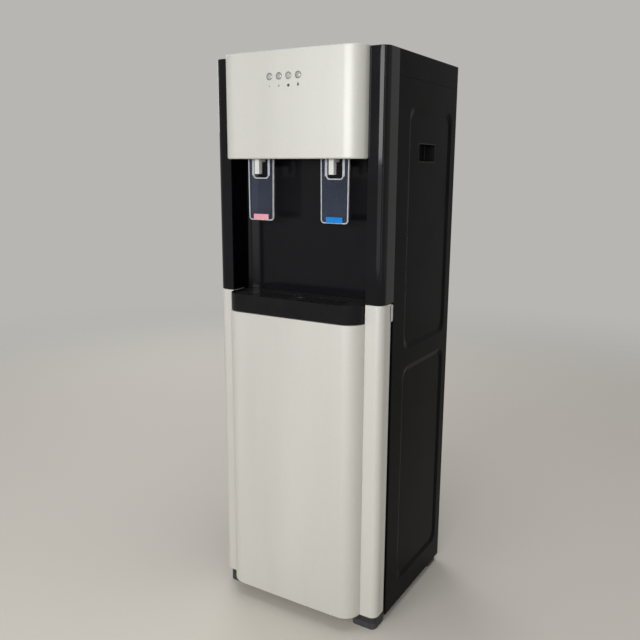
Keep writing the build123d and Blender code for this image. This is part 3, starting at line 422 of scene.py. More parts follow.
# rough is the range of the polish; mottle, smear and grain say how fine the patches are;
# depth is how high the grain stands; flake says how fine the flakes are and how much they
# differ; and sockets go to the shader as they are
looks = {
    "silverPaint": {"dark": "#cbcac3", "light": "#d4d3cc", "rough": (0.42, 0.48), "mottle": 9,
                    "stretch": (1, 1, 0.12), "grain": 2400, "bump": 0.04, "flake": (1400, 0.05),
                    "sockets": {"Metallic": 0.16, "Coat Weight": 0.4, "Coat Roughness": 0.3}},
    "glossBlack": {"dark": "#0b0b0e", "light": "#111116", "rough": (0.03, 0.09), "mottle": 12,
                   "grain": 50, "bump": 0.02, "depth": 0.0004,
                   "sockets": {"Specular IOR Level": 0.24}},
    "nicheBlack": {"dark": "#121215", "light": "#17171a", "rough": (0.10, 0.17), "mottle": 12,
                   "grain": 50, "bump": 0.03, "depth": 0.0004,
                   "sockets": {"Specular IOR Level": 0.18}},
    "trayBlack": {"dark": "#161617", "light": "#1c1c1d", "rough": (0.16, 0.26), "mottle": 30,
                  "grain": 300, "bump": 0.04, "depth": 0.0002,
                  "sockets": {"Specular IOR Level": 0.12}},
    "grilleBlack": {"dark": "#272728", "light": "#303031", "rough": (0.24, 0.34), "mottle": 40,
                    "grain": 600, "bump": 0.08, "sockets": {"Specular IOR Level": 0.3}},
    "cabinetBlack": {"dark": "#121213", "light": "#18181a", "rough": (0.18, 0.28), "mottle": 14,
                     "grain": 420, "bump": 0.05, "depth": 0.0002,
                     "sockets": {"Specular IOR Level": 0.02}},
    "satinBlack": {"dark": "#0b0b0c", "light": "#121213", "rough": (0.42, 0.55), "mottle": 40,
                   "grain": 1500, "bump": 0.15, "sockets": {"Specular IOR Level": 0.25}},
    "backSheet": {"dark": "#131314", "light": "#1a1a1b", "rough": (0.45, 0.6), "mottle": 60,
                  "grain": 1200, "bump": 0.25, "sockets": {"Specular IOR Level": 0.3}},
    "plinthGrey": {"dark": "#2c2c2e", "light": "#363638", "rough": (0.4, 0.5), "mottle": 60,
                   "grain": 900, "bump": 0.15, "sockets": {"Specular IOR Level": 0.3}},
    "footRubber": {"dark": "#3c3c3e", "light": "#484a4a", "rough": (0.55, 0.7), "mottle": 80,
                   "grain": 900, "bump": 0.3, "sockets": {"Specular IOR Level": 0.3}},
    "clearPlastic": {"dark": "#3a4254", "light": "#485168", "rough": (0.05, 0.09), "mottle": 25,
                     "smear": 14, "grain": 160, "bump": 0.01,
                     "sockets": {"Alpha": 0.34, "IOR": 1.49}},
    # the clear paddles' rim and sides: the whitish colour is a painted highlight, not the plastic's
    # own colour
    "clearEdgeHighlight": {"dark": "#c2c6ca", "light": "#dadee2", "rough": (0.15, 0.3), "mottle": 120,
                  "grain": 400, "bump": 0.05, "sockets": {"Transmission Weight": 0.2, "IOR": 1.47}},
    "whitePlastic": {"dark": "#dcdcd8", "light": "#e8e8e4", "rough": (0.28, 0.4), "mottle": 50,
                     "grain": 800, "bump": 0.06},
    "hotTag": {"dark": "#e49aa8", "light": "#f0b0bc", "rough": (0.35, 0.45), "mottle": 60,
               "grain": 700, "bump": 0.05, "sockets": {"Specular IOR Level": 0.25}},
    "coldTag": {"dark": "#0078cc", "light": "#008ce0", "rough": (0.35, 0.45), "mottle": 60,
                "grain": 700, "bump": 0.05, "sockets": {"Specular IOR Level": 0.25}},
    "lampLens": {"dark": "#a0a09e", "light": "#b6b6b4", "rough": (0.12, 0.22), "mottle": 90,
                 "grain": 900, "bump": 0.05, "sockets": {"Coat Weight": 0.5}},
    "lampRing": {"dark": "#6c6c6a", "light": "#7c7c7a", "rough": (0.3, 0.4), "mottle": 90,
                 "grain": 900, "bump": 0.05},
    "steel": {"dark": "#a8a8a8", "light": "#bebebe", "rough": (0.25, 0.4), "mottle": 40,
              "stretch": (1, 1, 12), "grain": 500, "bump": 0.1, "sockets": {"Metallic": 1.0}},
    "siliconeHose": {"dark": "#cfcfc9", "light": "#deded8", "rough": (0.35, 0.45), "mottle": 60,
                     "grain": 500, "bump": 0.05,
                     "sockets": {"Transmission Weight": 0.3, "Subsurface Weight": 0.2}},
    "foamWhite": {"dark": "#dcdcd6", "light": "#efefea", "rough": (0.8, 0.95), "mottle": 240,
                  "grain": 420, "bump": 0.6, "depth": 0.0006},
    "jacketFelt": {"dark": "#77777a", "light": "#98989a", "rough": (0.85, 0.95), "mottle": 260,
                   "grain": 900, "bump": 0.6, "depth": 0.0005},
    "aluminium": {"dark": "#c4c4c6", "light": "#d6d6d8", "rough": (0.28, 0.42), "mottle": 30,
                  "stretch": (1, 1, 14), "grain": 700, "bump": 0.08, "sockets": {"Metallic": 1.0}},
    "ceramic": {"dark": "#dededa", "light": "#ecece8", "rough": (0.5, 0.6), "mottle": 80,
                "grain": 900, "bump": 0.1},
    "circuitGreen": {"dark": "#1a5a30", "light": "#22703c", "rough": (0.35, 0.5), "mottle": 160,
                     "grain": 500, "bump": 0.1},
    "rockerRed": {"dark": "#a81818", "light": "#bc2222", "rough": (0.25, 0.35), "mottle": 60,
                  "grain": 700, "bump": 0.05},
    "rockerGreen": {"dark": "#187a2c", "light": "#208c38", "rough": (0.25, 0.35), "mottle": 60,
                    "grain": 700, "bump": 0.05},
    "printInk": {"dark": "#262626", "light": "#343434", "rough": (0.4, 0.5), "mottle": 90,
                 "grain": 900, "bump": 0.05},
}
finishes = {name: makeFinish(name, look) for name, look in looks.items()}

slotFinishes = {
    "silver": "silverPaint", "gloss_black": "glossBlack", "cabinet_black": "cabinetBlack",
    "satin_black": "satinBlack", "back_sheet": "backSheet", "foot_rubber": "footRubber",
    "clear_plastic": "clearPlastic", "white_plastic": "whitePlastic", "hot_tag": "hotTag",
    "cold_tag": "coldTag", "lens_grey": "lampLens", "steel": "steel",
    "hose_silicone": "siliconeHose", "foam": "foamWhite", "jacket": "jacketFelt",
    "aluminium": "aluminium", "ceramic": "ceramic", "circuit_board": "circuitGreen",
    "hot_rocker": "rockerRed", "cold_rocker": "rockerGreen",
}

slotOf = {}
for nodeName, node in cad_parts.items():
    slotOf[nodeName] = node.data.materials[0].name.split(".")[0]
    for index in range(len(node.data.materials)):
        node.data.materials[index] = finishes[slotFinishes[slotOf[nodeName]]]
print("finishes mixed:", len(finishes))


# the bowed plan that the fascia, the tray and the door's front share
bow = {"front": -0.1765, "bulge": 0.0015, "corner": 0.032, "cornerSteps": 16, "bulgeSteps": 24}


def bowCentres(half, inset=0.0):
    # the middles of the corner radius and of the wide bulge; half is half the front's width
    corner = bow["corner"] - inset
    front = bow["front"] + inset
    bulgeRadius = (half ** 2 + bow["bulge"] ** 2) / (2 * bow["bulge"])
    bulgeY = front + bulgeRadius
    endX = half - inset - corner
    endY = bulgeY - sqrt((bulgeRadius - corner) ** 2 - endX ** 2)
    return endX, endY, bulgeY


def drawBow(half, height, inset=0.0):
    # from the selected point at the right, round the front to the left
    endX, endY, bulgeY = bowCentres(half, inset)
    tilt = atan2(endX, bulgeY - endY)
    turn = 90 - tilt * 180 / pi
    arc((endX, endY, height), turn, bow["cornerSteps"])
    arc((0, bulgeY, height), 2 * tilt * 180 / pi, bow["bulgeSteps"])
    arc((-endX, endY, height), turn, bow["cornerSteps"])


def outsideBow(point, half, margin):
    # true for a point on the front's outer skin, false on its inner one
    endX, endY = bowCentres(half)[:2]
    if point.y > endY:
        return abs(point.x) > half - margin
    if abs(point.x) > endX:
        reach = sqrt((abs(point.x) - endX) ** 2 + (point.y - endY) ** 2)
        return reach > bow["corner"] - margin
    return point.y < bow["front"] + bow["bulge"] + margin


def bowedBlock(name, half, back, bottom, top):
    # a solid with the bowed plan, cut off flat at the back
    endY = bowCentres(half)[1]
    straight = max(back - endY, 0)
    piece = addPoint(name, (half, endY + straight, bottom))
    if straight:
        pull(y=-straight)
    drawBow(half, bottom)
    if straight:
        pull(y=straight)
    bpy.ops.mesh.select_all(action="SELECT")
    bpy.ops.mesh.edge_face_add()
    bpy.ops.mesh.select_all(action="SELECT")
    pull(z=top - bottom)
    if back < endY:
        bpy.ops.mesh.select_all(action="SELECT")
        bpy.ops.mesh.bisect(plane_co=(0, back, 0), plane_no=(0, 1, 0), clear_outer=True,
                            use_fill=True)
    tidyNormals(piece)
    return piece


fascia = {"half": 0.142, "back": -0.1455, "bottom": 0.8685, "top": 1.0465, "wall": 0.003,
          "topRound": 0.0016, "bottomRound": 0.0029, "firstLamp": -0.0324, "lampPitch": 0.0192,
          "lampCount": 4, "lampHeight": 1.0043, "lampRadius": 0.00605, "drill": 0.02}


def makeFascia():
    back, bottom, top = fascia["back"], fascia["bottom"], fascia["top"]
    piece = bowedBlock("fasciaPanel", fascia["half"], back, bottom, top)
    openUp(piece, lambda m, n: abs(m.z - bottom) < near or abs(m.y - back) < near)
    thicken(piece, fascia["wall"])
    for index in range(fascia["lampCount"]):
        x = fascia["firstLamp"] + index * fascia["lampPitch"]
        cutWith(piece, addRod("hole", (x, bow["front"], fascia["lampHeight"]),
                              fascia["lampRadius"], fascia["drill"], "Y", 40))
    front = back - 10 * near
    rounded(piece, lambda m, d: abs(m.z - top) < near and m.y < front, fascia["topRound"], 3)
    rounded(piece, lambda m, d: abs(m.z - bottom) < near and m.y < front
            and outsideBow(m, fascia["half"], fascia["wall"] / 3), fascia["bottomRound"], 4)
    smooth(piece)
    place(piece, "cabinet", "silverPaint", "silver", "fascia")


door = {"half": 0.142, "back": -0.1365, "bottom": 0.028, "top": 0.590, "wall": 0.003,
        "topRound": 0.0016, "bottomRound": 0.0024}


def makeDoorFront():
    bottom, top = door["bottom"], door["top"]
    piece = bowedBlock("doorPanel", door["half"], door["back"], bottom, top)
    openUp(piece, lambda m, n: abs(m.y - door["back"]) < near)
    thicken(piece, door["wall"])
    front = door["back"] - 10 * near
    rounded(piece, lambda m, d: abs(m.z - top) < near and m.y < front, door["topRound"], 3)
    rounded(piece, lambda m, d: abs(m.z - bottom) < near and m.y < front, door["bottomRound"], 3)
    smooth(piece)
    place(piece, "door", "silverPaint", "silver", "door_front")


# domeSteps are the rings of the dome: how wide each is and its share of the rise
lamp = {"radius": 0.0058, "back": -0.1725, "face": -0.1758, "ring": 0.0009, "ringSink": 0.0002,
        "lip": 0.0002, "lipRise": 0.0003, "dome": 0.0006,
        "domeSteps": ((0.0012, 0.45), (0.0014, 0.3), (0.0012, 0.1))}


def makeIndicators():
    # one lamp: a grey ring, and a paler dome in it
    middle = (fascia["firstLamp"], (lamp["back"] + lamp["face"]) / 2, fascia["lampHeight"])
    first = addRod("lamp", middle, lamp["radius"], lamp["back"] - lamp["face"], "Y", 40)
    first.data.materials.append(finishes["lampRing"])
    first.data.materials.append(finishes["lampLens"])
    edit(first)
    pick(first, facing("y", -1))
    bpy.ops.mesh.inset(thickness=lamp["ring"], depth=-lamp["ringSink"])
    bpy.ops.mesh.inset(thickness=lamp["lip"], depth=lamp["lipRise"])
    first.active_material_index = 1
    bpy.ops.object.material_slot_assign()
    for width, share in lamp["domeSteps"]:
        bpy.ops.mesh.inset(thickness=width, depth=lamp["dome"] * share)
    bpy.ops.object.mode_set(mode="OBJECT")
    lamps = [first]
    for index in range(1, fascia["lampCount"]):
        lamps.append(copyOf(first, "lamp", (index * fascia["lampPitch"], 0, 0)))
    piece = join("indicatorLamps", lamps)
    smooth(piece, 50)
    place(piece, "cabinet", None, "lens_grey", "indicator_lenses")


# plain generic marks under the lamps, each with its size and its number of sides
marks = {"height": 0.9885, "face": -0.17651, "thick": 0.00008, "line": 0.0005,
         "shapes": ((0.0009, 24), (0.0024, 3), (0.0024, 28), (0.0018, 28)),
         "dropHeight": 1.3, "dropTaper": 0.45}


def makeMarks():
    pieces = []
    height = marks["height"]
    for index, (radius, sides) in enumerate(marks["shapes"]):
        x = fascia["firstLamp"] + index * fascia["lampPitch"]
        piece = addRod("mark", (x, marks["face"], height), radius, marks["thick"], "Y", sides)
        edit(piece)
        if sides == 3:
            # the triangle is only a line, so its middle is taken out
            pick(piece, along("y"))
            bpy.ops.mesh.inset(thickness=marks["line"], depth=0)
            bpy.ops.mesh.bridge_edge_loops()
        if index == len(marks["shapes"]) - 1:
            # the last is a drop: its upper half is drawn out to a point
            mesh = bmesh.from_edit_mesh(piece.data)
            for corner in mesh.verts:
                rise = corner.co.z - height
                if rise > 0:
                    corner.co.z += rise * marks["dropHeight"]
                    corner.co.x = x + (corner.co.x - x) * (1 - marks["dropTaper"] * rise / radius)
            bmesh.update_edit_mesh(piece.data)
        bpy.ops.object.mode_set(mode="OBJECT")
        pieces.append(piece)
    piece = join("printedMarks", pieces)
    place(piece, "cabinet", "printInk", "satin_black")


makeFascia()
makeDoorFront()
makeIndicators()
makeMarks()
print("bowed fronts and lamps made")


post = {"inner": 0.142, "outer": 0.175, "front": -0.1455, "round": 0.014, "wall": 0.003,
        "lip": 0.0008}
upperPost = {"back": -0.1025, "bottom": 0.625, "top": 1.045}
doorPost = {"back": -0.1125, "bottom": 0.029, "top": 0.624}


def cornerPost(name, size):
    # the right-hand rounded corner moulding, open at its back and towards the middle
    outer, front, wall = post["outer"], post["front"], post["wall"]
    bottom, top = size["bottom"], size["top"]
    piece = addBlock(name, (post["inner"], front, bottom), (outer, size["back"], top))
    middle, deep = (post["inner"] + outer) / 2, (front + size["back"]) / 2
    rounded(piece, lambda m, d: abs(d.z) > mostly and m.x > middle and m.y < deep,
            post["round"], 12)
    openUp(piece, lambda m, n: n.y > mostly or n.x < -mostly)
    thicken(piece, wall)

    def onOuterRim(m, d):
        atEnd = min(abs(m.z - top), abs(m.z - bottom)) < near
        inCorner = m.x > middle and m.y < front + post["round"] / 2
        return atEnd and (m.x > outer - wall / 2 or m.y < front + wall / 2 or inCorner)

    rounded(piece, onOuterRim, post["lip"], 3)
    return piece


def makeUpperPosts():
    right = cornerPost("upperPostRight", upperPost)
    left = copyOf(right, "upperPostLeft", flip=True)
    for piece, node in ((right, "upper_pillar_right"), (left, "upper_pillar_left")):
        smooth(piece)
        place(piece, "cabinet", "glossBlack", "gloss_black", node)


doorFrame = {"webFront": -0.1365, "webBack": -0.1335, "top": 0.590, "wall": 0.003,
             "edge": 0.0004, "tab": (0.592, 0.622), "tabBack": -0.1035, "tabRound": 0.00285,
             "hingeX": -0.163, "hingeY": -0.1295, "boss": 0.007, "bossLength": 0.012,
             "pinHole": 0.00305, "drillMiddle": 0.33, "drillLength": 0.7}


def makeDoorFrame():
    right = cornerPost("postRight", doorPost)
    left = copyOf(right, "postLeft", flip=True)
    inner, outer, wall = post["inner"], post["outer"], doorFrame["wall"]
    front, rear, back = doorFrame["webFront"], doorFrame["webBack"], doorPost["back"]
    bottom, top = doorPost["bottom"], doorFrame["top"]
    # the plate between the posts, and the flanges along its top and its bottom
    parts = [addBlock("web", (-inner, front, bottom), (inner, rear, top)),
             addBlock("web", (-inner, rear, top - wall), (inner, back, top)),
             addBlock("web", (-inner, rear, bottom), (inner, back, bottom + wall))]
    # the two strips that close the posts towards the bowed front
    strip = addBlock("strip", (inner, post["front"] + wall, bottom), (inner + wall, rear, top))
    parts += [strip, copyOf(strip, "strip", flip=True)]
    # the tab that a finger pulls the door open with
    low, high = doorFrame["tab"]
    tab = addBlock("tab", (outer - wall, back - wall, low), (outer, doorFrame["tabBack"], high))
    rounded(tab, along("x"), doorFrame["tabRound"], 5)
    parts.append(tab)
    # bosses that the hinge pins turn in
    hingeX, hingeY, length = doorFrame["hingeX"], doorFrame["hingeY"], doorFrame["bossLength"]
    for height in (bottom + length / 2, doorPost["top"] - length / 2):
        parts.append(addRod("boss", (hingeX, hingeY, height), doorFrame["boss"], length, "Z", 40))
    for part in parts:
        roundEdges(part, doorFrame["edge"], 2, 40)
    parts += [right, left]
    for part in parts:
        if part.name.startswith(("boss", "postLeft", "web")):
            cutWith(part, addRod("pin", (hingeX, hingeY, doorFrame["drillMiddle"]),
                                 doorFrame["pinHole"], doorFrame["drillLength"], "Z", 28))
    piece = join("doorFrame", parts)
    smooth(piece)
    place(piece, "door", "silverPaint", "silver", "door_frame")


niche = {"half": 0.142, "front": -0.1425, "rear": -0.0955, "round": 0.030, "roundSteps": 20,
         "middle": -0.13, "bottom": 0.594, "shelf": 0.625, "top": 0.872, "skirtFront": -0.107,
         "wall": 0.003}


def makeNiche():
    # one sheet drawn round the niche and raised in two steps, the lower one only at the rear
    half, rear, radius = niche["half"], niche["rear"], niche["round"]
    low, shelf = niche["bottom"], niche["shelf"]
    piece = addPoint("nicheWall", (half, niche["front"], low))
    pull(y=rear - radius - niche["front"])
    arc((half - radius, rear - radius, low), -90, niche["roundSteps"])
    pull(x=-2 * (half - radius))
    arc((radius - half, rear - radius, low), -90, niche["roundSteps"])
    pull(y=niche["front"] - rear + radius)
    bpy.ops.mesh.select_all(action="SELECT")
    bpy.ops.mesh.remove_doubles(threshold=near)
    bpy.ops.mesh.select_all(action="SELECT")
    pull(z=shelf - low)
    pick(piece, lambda m, d: abs(m.z - shelf) < near, "EDGE")
    pull(z=niche["top"] - shelf)
    pick(piece, lambda m, n: m.z < shelf)
    bpy.ops.mesh.bisect(plane_co=(0, niche["skirtFront"], 0), plane_no=(0, 1, 0),
                        clear_inner=True)
    tidyNormals(piece)
    edit(piece)
    # the sheet looks inwards, so that its wall grows away from the hollow
    mesh = bmesh.from_edit_mesh(piece.data)
    middle = Vector((0, niche["middle"]))
    outward = sum(face.normal.xy.dot(face.calc_center_median().xy - middle)
                  for face in mesh.faces)
    bpy.ops.mesh.select_all(action="SELECT")
    if outward > 0:
        bpy.ops.mesh.flip_normals()
    bpy.ops.object.mode_set(mode="OBJECT")
    thicken(piece, niche["wall"])
    smooth(piece)
    place(piece, "cabinet", "nicheBlack", "gloss_black", "niche_liner")


side = {"outer": 0.175, "wall": 0.003, "front": -0.1025, "back": 0.1685, "bottom": 0.015,
        "top": 1.003, "flange": 0.020, "rearRound": 0.008, "edge": 0.0011,
        "recesses": ((0.060, 0.495), (0.527, 0.958)), "recessFront": -0.0555,
        "recessBack": 0.1395, "recessDepth": 0.003, "recessBevel": 0.010, "recessRound": 0.020,
        "recessOver": 0.001}
pocket = {"front": -0.0085, "back": 0.0695, "bottom": 0.864, "top": 0.898, "depth": 0.022,
          "wall": 0.002, "round": 0.004, "flange": 0.005, "mouth": 0.172, "seat": 0.169,
          "innerRound": 0.0019, "edge": 0.0004}


def recessBlock(face, low, high):
    # a shallow tapered block, with its mouth in the plane x = face and a little more in front
    front, back, bevel = side["recessFront"], side["recessBack"], side["recessBevel"]
    bottom = face - side["recessDepth"]
    piece = addBlock("recess", (bottom, front, low), (face, back, high))
    rounded(piece, along("x"), side["recessRound"], 8)
    edit(piece)
    pick(piece, facing("x", -1))
    shrink = (1, 1 - 2 * bevel / (back - front), 1 - 2 * bevel / (high - low))
    bpy.ops.transform.resize(value=shrink,
                             center_override=(bottom, (front + back) / 2, (low + high) / 2))
    pick(piece, facing("x", 1))
    pull(x=side["recessOver"])
    bpy.ops.object.mode_set(mode="OBJECT")
    return piece


def pocketBlock(name, low, high, grow, radius):
    # the handle opening's outline between two planes
    piece = addBlock(name, (low, pocket["front"] - grow, pocket["bottom"] - grow),
                     (high, pocket["back"] + grow, pocket["top"] + grow))
    rounded(piece, along("x"), radius, 6)
    return piece


def makeSidePanels():
    outer, wall, rear = side["outer"], side["wall"], side["rearRound"]
    inner, front, back = outer - side["flange"], side["front"], side["back"]
    bottom, top = side["bottom"], side["top"]
    right = addBlock("sidePanelRight", (inner, front, bottom), (outer, back, top))
    rounded(right, lambda m, d: abs(d.z) > mostly and m.x > outer - 10 * near and m.y > 0,
            rear, 8)
    hollow = addBlock("hollow", (inner - wall, front - wall, bottom - wall),
                      (outer - wall, back - wall, top + wall))
    rounded(hollow, lambda m, d: abs(d.z) > mostly and m.x > outer - wall - 10 * near
            and m.y > 0, rear - wall, 8)
    cutWith(right, hollow)
    for low, high in side["recesses"]:
        cutWith(right, recessBlock(outer - wall, low, high), "UNION")
        cutWith(right, recessBlock(outer, low, high))
    cutWith(right, pocketBlock("opening", pocket["seat"] - wall, outer + wall, 0,
                               pocket["round"]))
    roundEdges(right, side["edge"], 3, 12)
    left = copyOf(right, "sidePanelLeft", flip=True)
    for piece, node in ((right, "side_panel_right"), (left, "side_panel_left")):
        smooth(piece)
        place(piece, "cabinet", "cabinetBlack", slotOf[node], node)


def makePockets():
    wall, mouth, seat = pocket["wall"], pocket["mouth"], pocket["seat"]
    floor = mouth - pocket["depth"]
    right = pocketBlock("handlePocketRight", floor - wall, mouth, 0, pocket["round"])
    cutWith(right, pocketBlock("flange", seat - wall, seat, pocket["flange"],
                               pocket["round"] + pocket["flange"]), "UNION")
    hollow = pocketBlock("hollow", floor, mouth + wall, -wall, wall)
    rounded(hollow, lambda m, d: m.x < floor + near, pocket["innerRound"], 4)
    cutWith(right, hollow)
    roundEdges(right, pocket["edge"], 2, 50)
    left = copyOf(right, "handlePocketLeft", flip=True)
    for piece, node in ((right, "handle_pocket_right"), (left, "handle_pocket_left")):
        smooth(piece)
        place(piece, "cabinet", "satinBlack", slotOf[node], node)


def makeTopCover():
    outer = side["outer"]
    piece = addBlock("topCover", (-outer, side["front"], side["top"]),
                     (outer, side["back"], upperPost["top"]))
    rounded(piece, lambda m, d: abs(d.z) > mostly and m.y > 0, side["rearRound"], 8)
    openUp(piece, lambda m, n: n.z < -mostly or n.y < -mostly)
    thicken(piece, side["wall"])
    roundEdges(piece, side["edge"], 3, 30)
    smooth(piece)
    place(piece, "cabinet", "cabinetBlack", slotOf["top_cover"], "top_cover")


foot = {"low": (0.120, -0.1385, 0.0), "high": (0.170, -0.0925, 0.012), "rear": 0.2565,
        "corner": 0.010, "edge": 0.0012, "sole": 0.006, "soleDepth": 0.0015}


def makeFeet():
    first = addBlock("foot", foot["low"], foot["high"])
    rounded(first, along("z"), foot["corner"], 7)
    edit(first)
    pick(first, facing("z", -1))
    bpy.ops.mesh.inset(thickness=foot["sole"], depth=0)
    pull(z=foot["soleDepth"])
    bpy.ops.object.mode_set(mode="OBJECT")
    roundEdges(first, foot["edge"], 3, 40)
    feet = [first, copyOf(first, "foot", (0, foot["rear"], 0))]
    feet += [copyOf(one, "foot", flip=True) for one in feet[:2]]
    piece = join("restingFeet", feet)
    smooth(piece)
    place(piece, "cabinet", "footRubber", slotOf["feet"], "feet")


screw = {"x": 0.165, "heights": (0.060, 0.520, 0.975), "radius": 0.0045, "under": 0.1685,
         "head": 0.002, "headRound": 0.0011, "slotWidth": 0.0009, "slotLength": 0.0052,
         "slotDepth": 0.0012, "slotOver": 0.001}


def makeBackScrews():
    # one pan head with a cross recess, copied to its six places
    x, low, under = screw["x"], screw["heights"][0], screw["under"]
    top = under + screw["head"]
    first = addRod("screw", (x, (under + top) / 2, low), screw["radius"], screw["head"], "Y", 24)
    rounded(first, lambda m, d: m.y > top - near, screw["headRound"], 3)
    width, length = screw["slotWidth"] / 2, screw["slotLength"] / 2
    for reachX, reachZ in ((width, length), (length, width)):
        cutWith(first, addBlock("cross", (x - reachX, top - screw["slotDepth"], low - reachZ),
                                (x + reachX, top + screw["slotOver"], low + reachZ)))
    screws = [first]
    for height in screw["heights"][1:]:
        screws.append(copyOf(first, "screw", (0, 0, height - low)))
    screws += [copyOf(one, "screw", flip=True) for one in screws[:3]]
    piece = join("backScrews", screws)
    smooth(piece)
    place(piece, "cabinet", "steel", slotOf["back_panel_screws"], "back_panel_screws")


# moulded parts whose shape is right, and which only want their edges broken: name, body, edge
softParts = {"base_pan": ("basePan", "cabinet", 0.0008),
             "front_frame": ("bayFrame", "cabinet", 0.0006),
             "door_liner": ("doorLining", "door", 0.0008),
             "tray_shelf": ("trayShelf", "cabinet", 0.0004),
             "hot_switch": ("hotRocker", "hot_rocker", 0.0004),
             "cold_switch": ("coldRocker", "cold_rocker", 0.0004),
             "switch_bezels": ("rockerBezels", "cabinet", 0.0004),
             "power_inlet": ("powerInlet", "cabinet", 0.0005),
             "drain_cap": ("drainCap", "cabinet", 0.0010),
             "probe_cap": ("probeCap", "cabinet", 0.0008),
             "head_wall": ("headWall", "cabinet", 0.0005)}


def makeSoftParts():
    for node, (name, body, width) in softParts.items():
        finish = "plinthGrey" if node == "base_pan" else slotFinishes[slotOf[node]]
        place(softened(node, name, width), body, finish, slotOf[node], node)


makeUpperPosts()
makeDoorFrame()
makeNiche()
makeSidePanels()
makePockets()
makeTopCover()
makeFeet()
makeBackScrews()
makeSoftParts()
print("cabinet and door mouldings made")


tray = {"half": 0.1405, "bottom": 0.5915, "floor": 0.5942, "top": 0.624, "cornerY": -0.12625,
        "cornerRadius": 0.03, "wall": 0.003, "seat": 0.6185, "ledge": 0.004, "cupFloor": 0.5972,
        "rimRound": 0.0011, "skirtEnd": -0.127, "skirtSide": 0.13, "skirtFront": -0.15}


def trayOutline(name, bottom, inset=0.0):
    # bowed front, straight sides and the rounded rear that fits the niche
    half, rear = tray["half"] - inset, tray["cornerY"]
    endY = bowCentres(tray["half"], inset)[1]
    cornerX = half - (tray["cornerRadius"] - inset)
    piece = addPoint(name, (half, rear, bottom))
    pull(y=endY - rear)
    drawBow(tray["half"], bottom, inset)
    pull(y=rear - endY)
    arc((-cornerX, rear, bottom), 90, 14)
    pull(x=2 * cornerX)
    arc((cornerX, rear, bottom), 90, 14)
    bpy.ops.mesh.select_all(action="SELECT")
    bpy.ops.mesh.remove_doubles(threshold=near)
    bpy.ops.mesh.select_all(action="SELECT")
    bpy.ops.mesh.edge_face_add()
    return piece


def makeTray():
    floor, top, seat = tray["floor"], tray["top"], tray["seat"]
    piece = trayOutline("dripTray", floor)
    bpy.ops.mesh.select_all(action="SELECT")
    pull(z=top - floor)
    tidyNormals(piece)
    edit(piece)
    pick(piece, facing("z", 1))
    bpy.ops.mesh.inset(thickness=tray["wall"], depth=0)
    pull(z=seat - top)
    bpy.ops.mesh.inset(thickness=tray["ledge"], depth=0)
    pull(z=tray["cupFloor"] - seat)
    pick(piece, facing("z", -1))
    bpy.ops.mesh.inset(thickness=tray["wall"], depth=0)

    def underRim(m, n):
        # the narrow faces under the front and the sides, but not the wide floor between them
        wideFloor = abs(m.x) < 100 * near and m.y > bow["front"] + 2 * tray["wall"]
        onRim = abs(m.x) > tray["skirtSide"] or m.y < tray["skirtFront"]
        return (n.z < -mostly and abs(m.z - floor) < near and m.y < tray["skirtEnd"]
                and onRim and not wideFloor)

    # the skirt, which hangs in front of the shelf
    pick(piece, underRim)
    pull(z=tray["bottom"] - floor)
    pick(piece, lambda m, d: abs(m.z - top) < near, "EDGE")
    bpy.ops.mesh.bevel(offset=tray["rimRound"], segments=3, affect="EDGES")
    smooth(piece)
    place(piece, "tray", "trayBlack", "gloss_black", "drip_tray")


grille = {"bottom": 0.6185, "top": 0.621, "inset": 0.0032, "middleY": -0.136,
          "slotWidth": 0.0035, "slotLength": 0.052, "slotRound": 0.00168, "pitch": 0.008,
          "slots": 25, "grip": 0.009, "over": 0.002, "drill": 0.008, "edge": 0.0004}


def makeGrille():
    bottom, top, middleY = grille["bottom"], grille["top"], grille["middleY"]
    piece = trayOutline("dripGrille", bottom, grille["inset"])
    bpy.ops.mesh.select_all(action="SELECT")
    pull(z=top - bottom)
    tidyNormals(piece)
    halfX, halfY, over = grille["slotWidth"] / 2, grille["slotLength"] / 2, grille["over"]
    slot = addBlock("slot", (-halfX, middleY - halfY, bottom - over),
                    (halfX, middleY + halfY, top + over))
    rounded(slot, along("z"), grille["slotRound"], 4)
    cutters = []
    for index in range(grille["slots"]):
        x = (index - (grille["slots"] - 1) / 2) * grille["pitch"]
        if abs(x) > grille["grip"]:
            cutters.append(copyOf(slot, "slot", (x, 0, 0)))
    bpy.data.objects.remove(slot)
    # the round hole in the middle that a finger lifts the grille by
    cutters.append(addRod("grip", (0, middleY, (bottom + top) / 2), grille["grip"],
                          grille["drill"], "Z", 40))
    cutWith(piece, join("cutter", cutters))
    roundEdges(piece, grille["edge"], 2, 40)
    smooth(piece)
    place(piece, "grille", "grilleBlack", "gloss_black", "drip_grille")


tap = {"spread": 0.077, "nozzleWidth": 0.010, "nozzleFront": -0.155, "nozzleBack": -0.144,
       "nozzleTip": 0.8425, "nozzleTop": 0.875, "nozzleRound": 0.0014, "edge": 0.0005,
       "spout": 0.003, "spoutRise": 0.008, "spoutDrill": 0.024, "neckRadius": 0.004,
       "neckHeight": 0.867, "neckOver": 0.001, "valveFront": -0.1315}


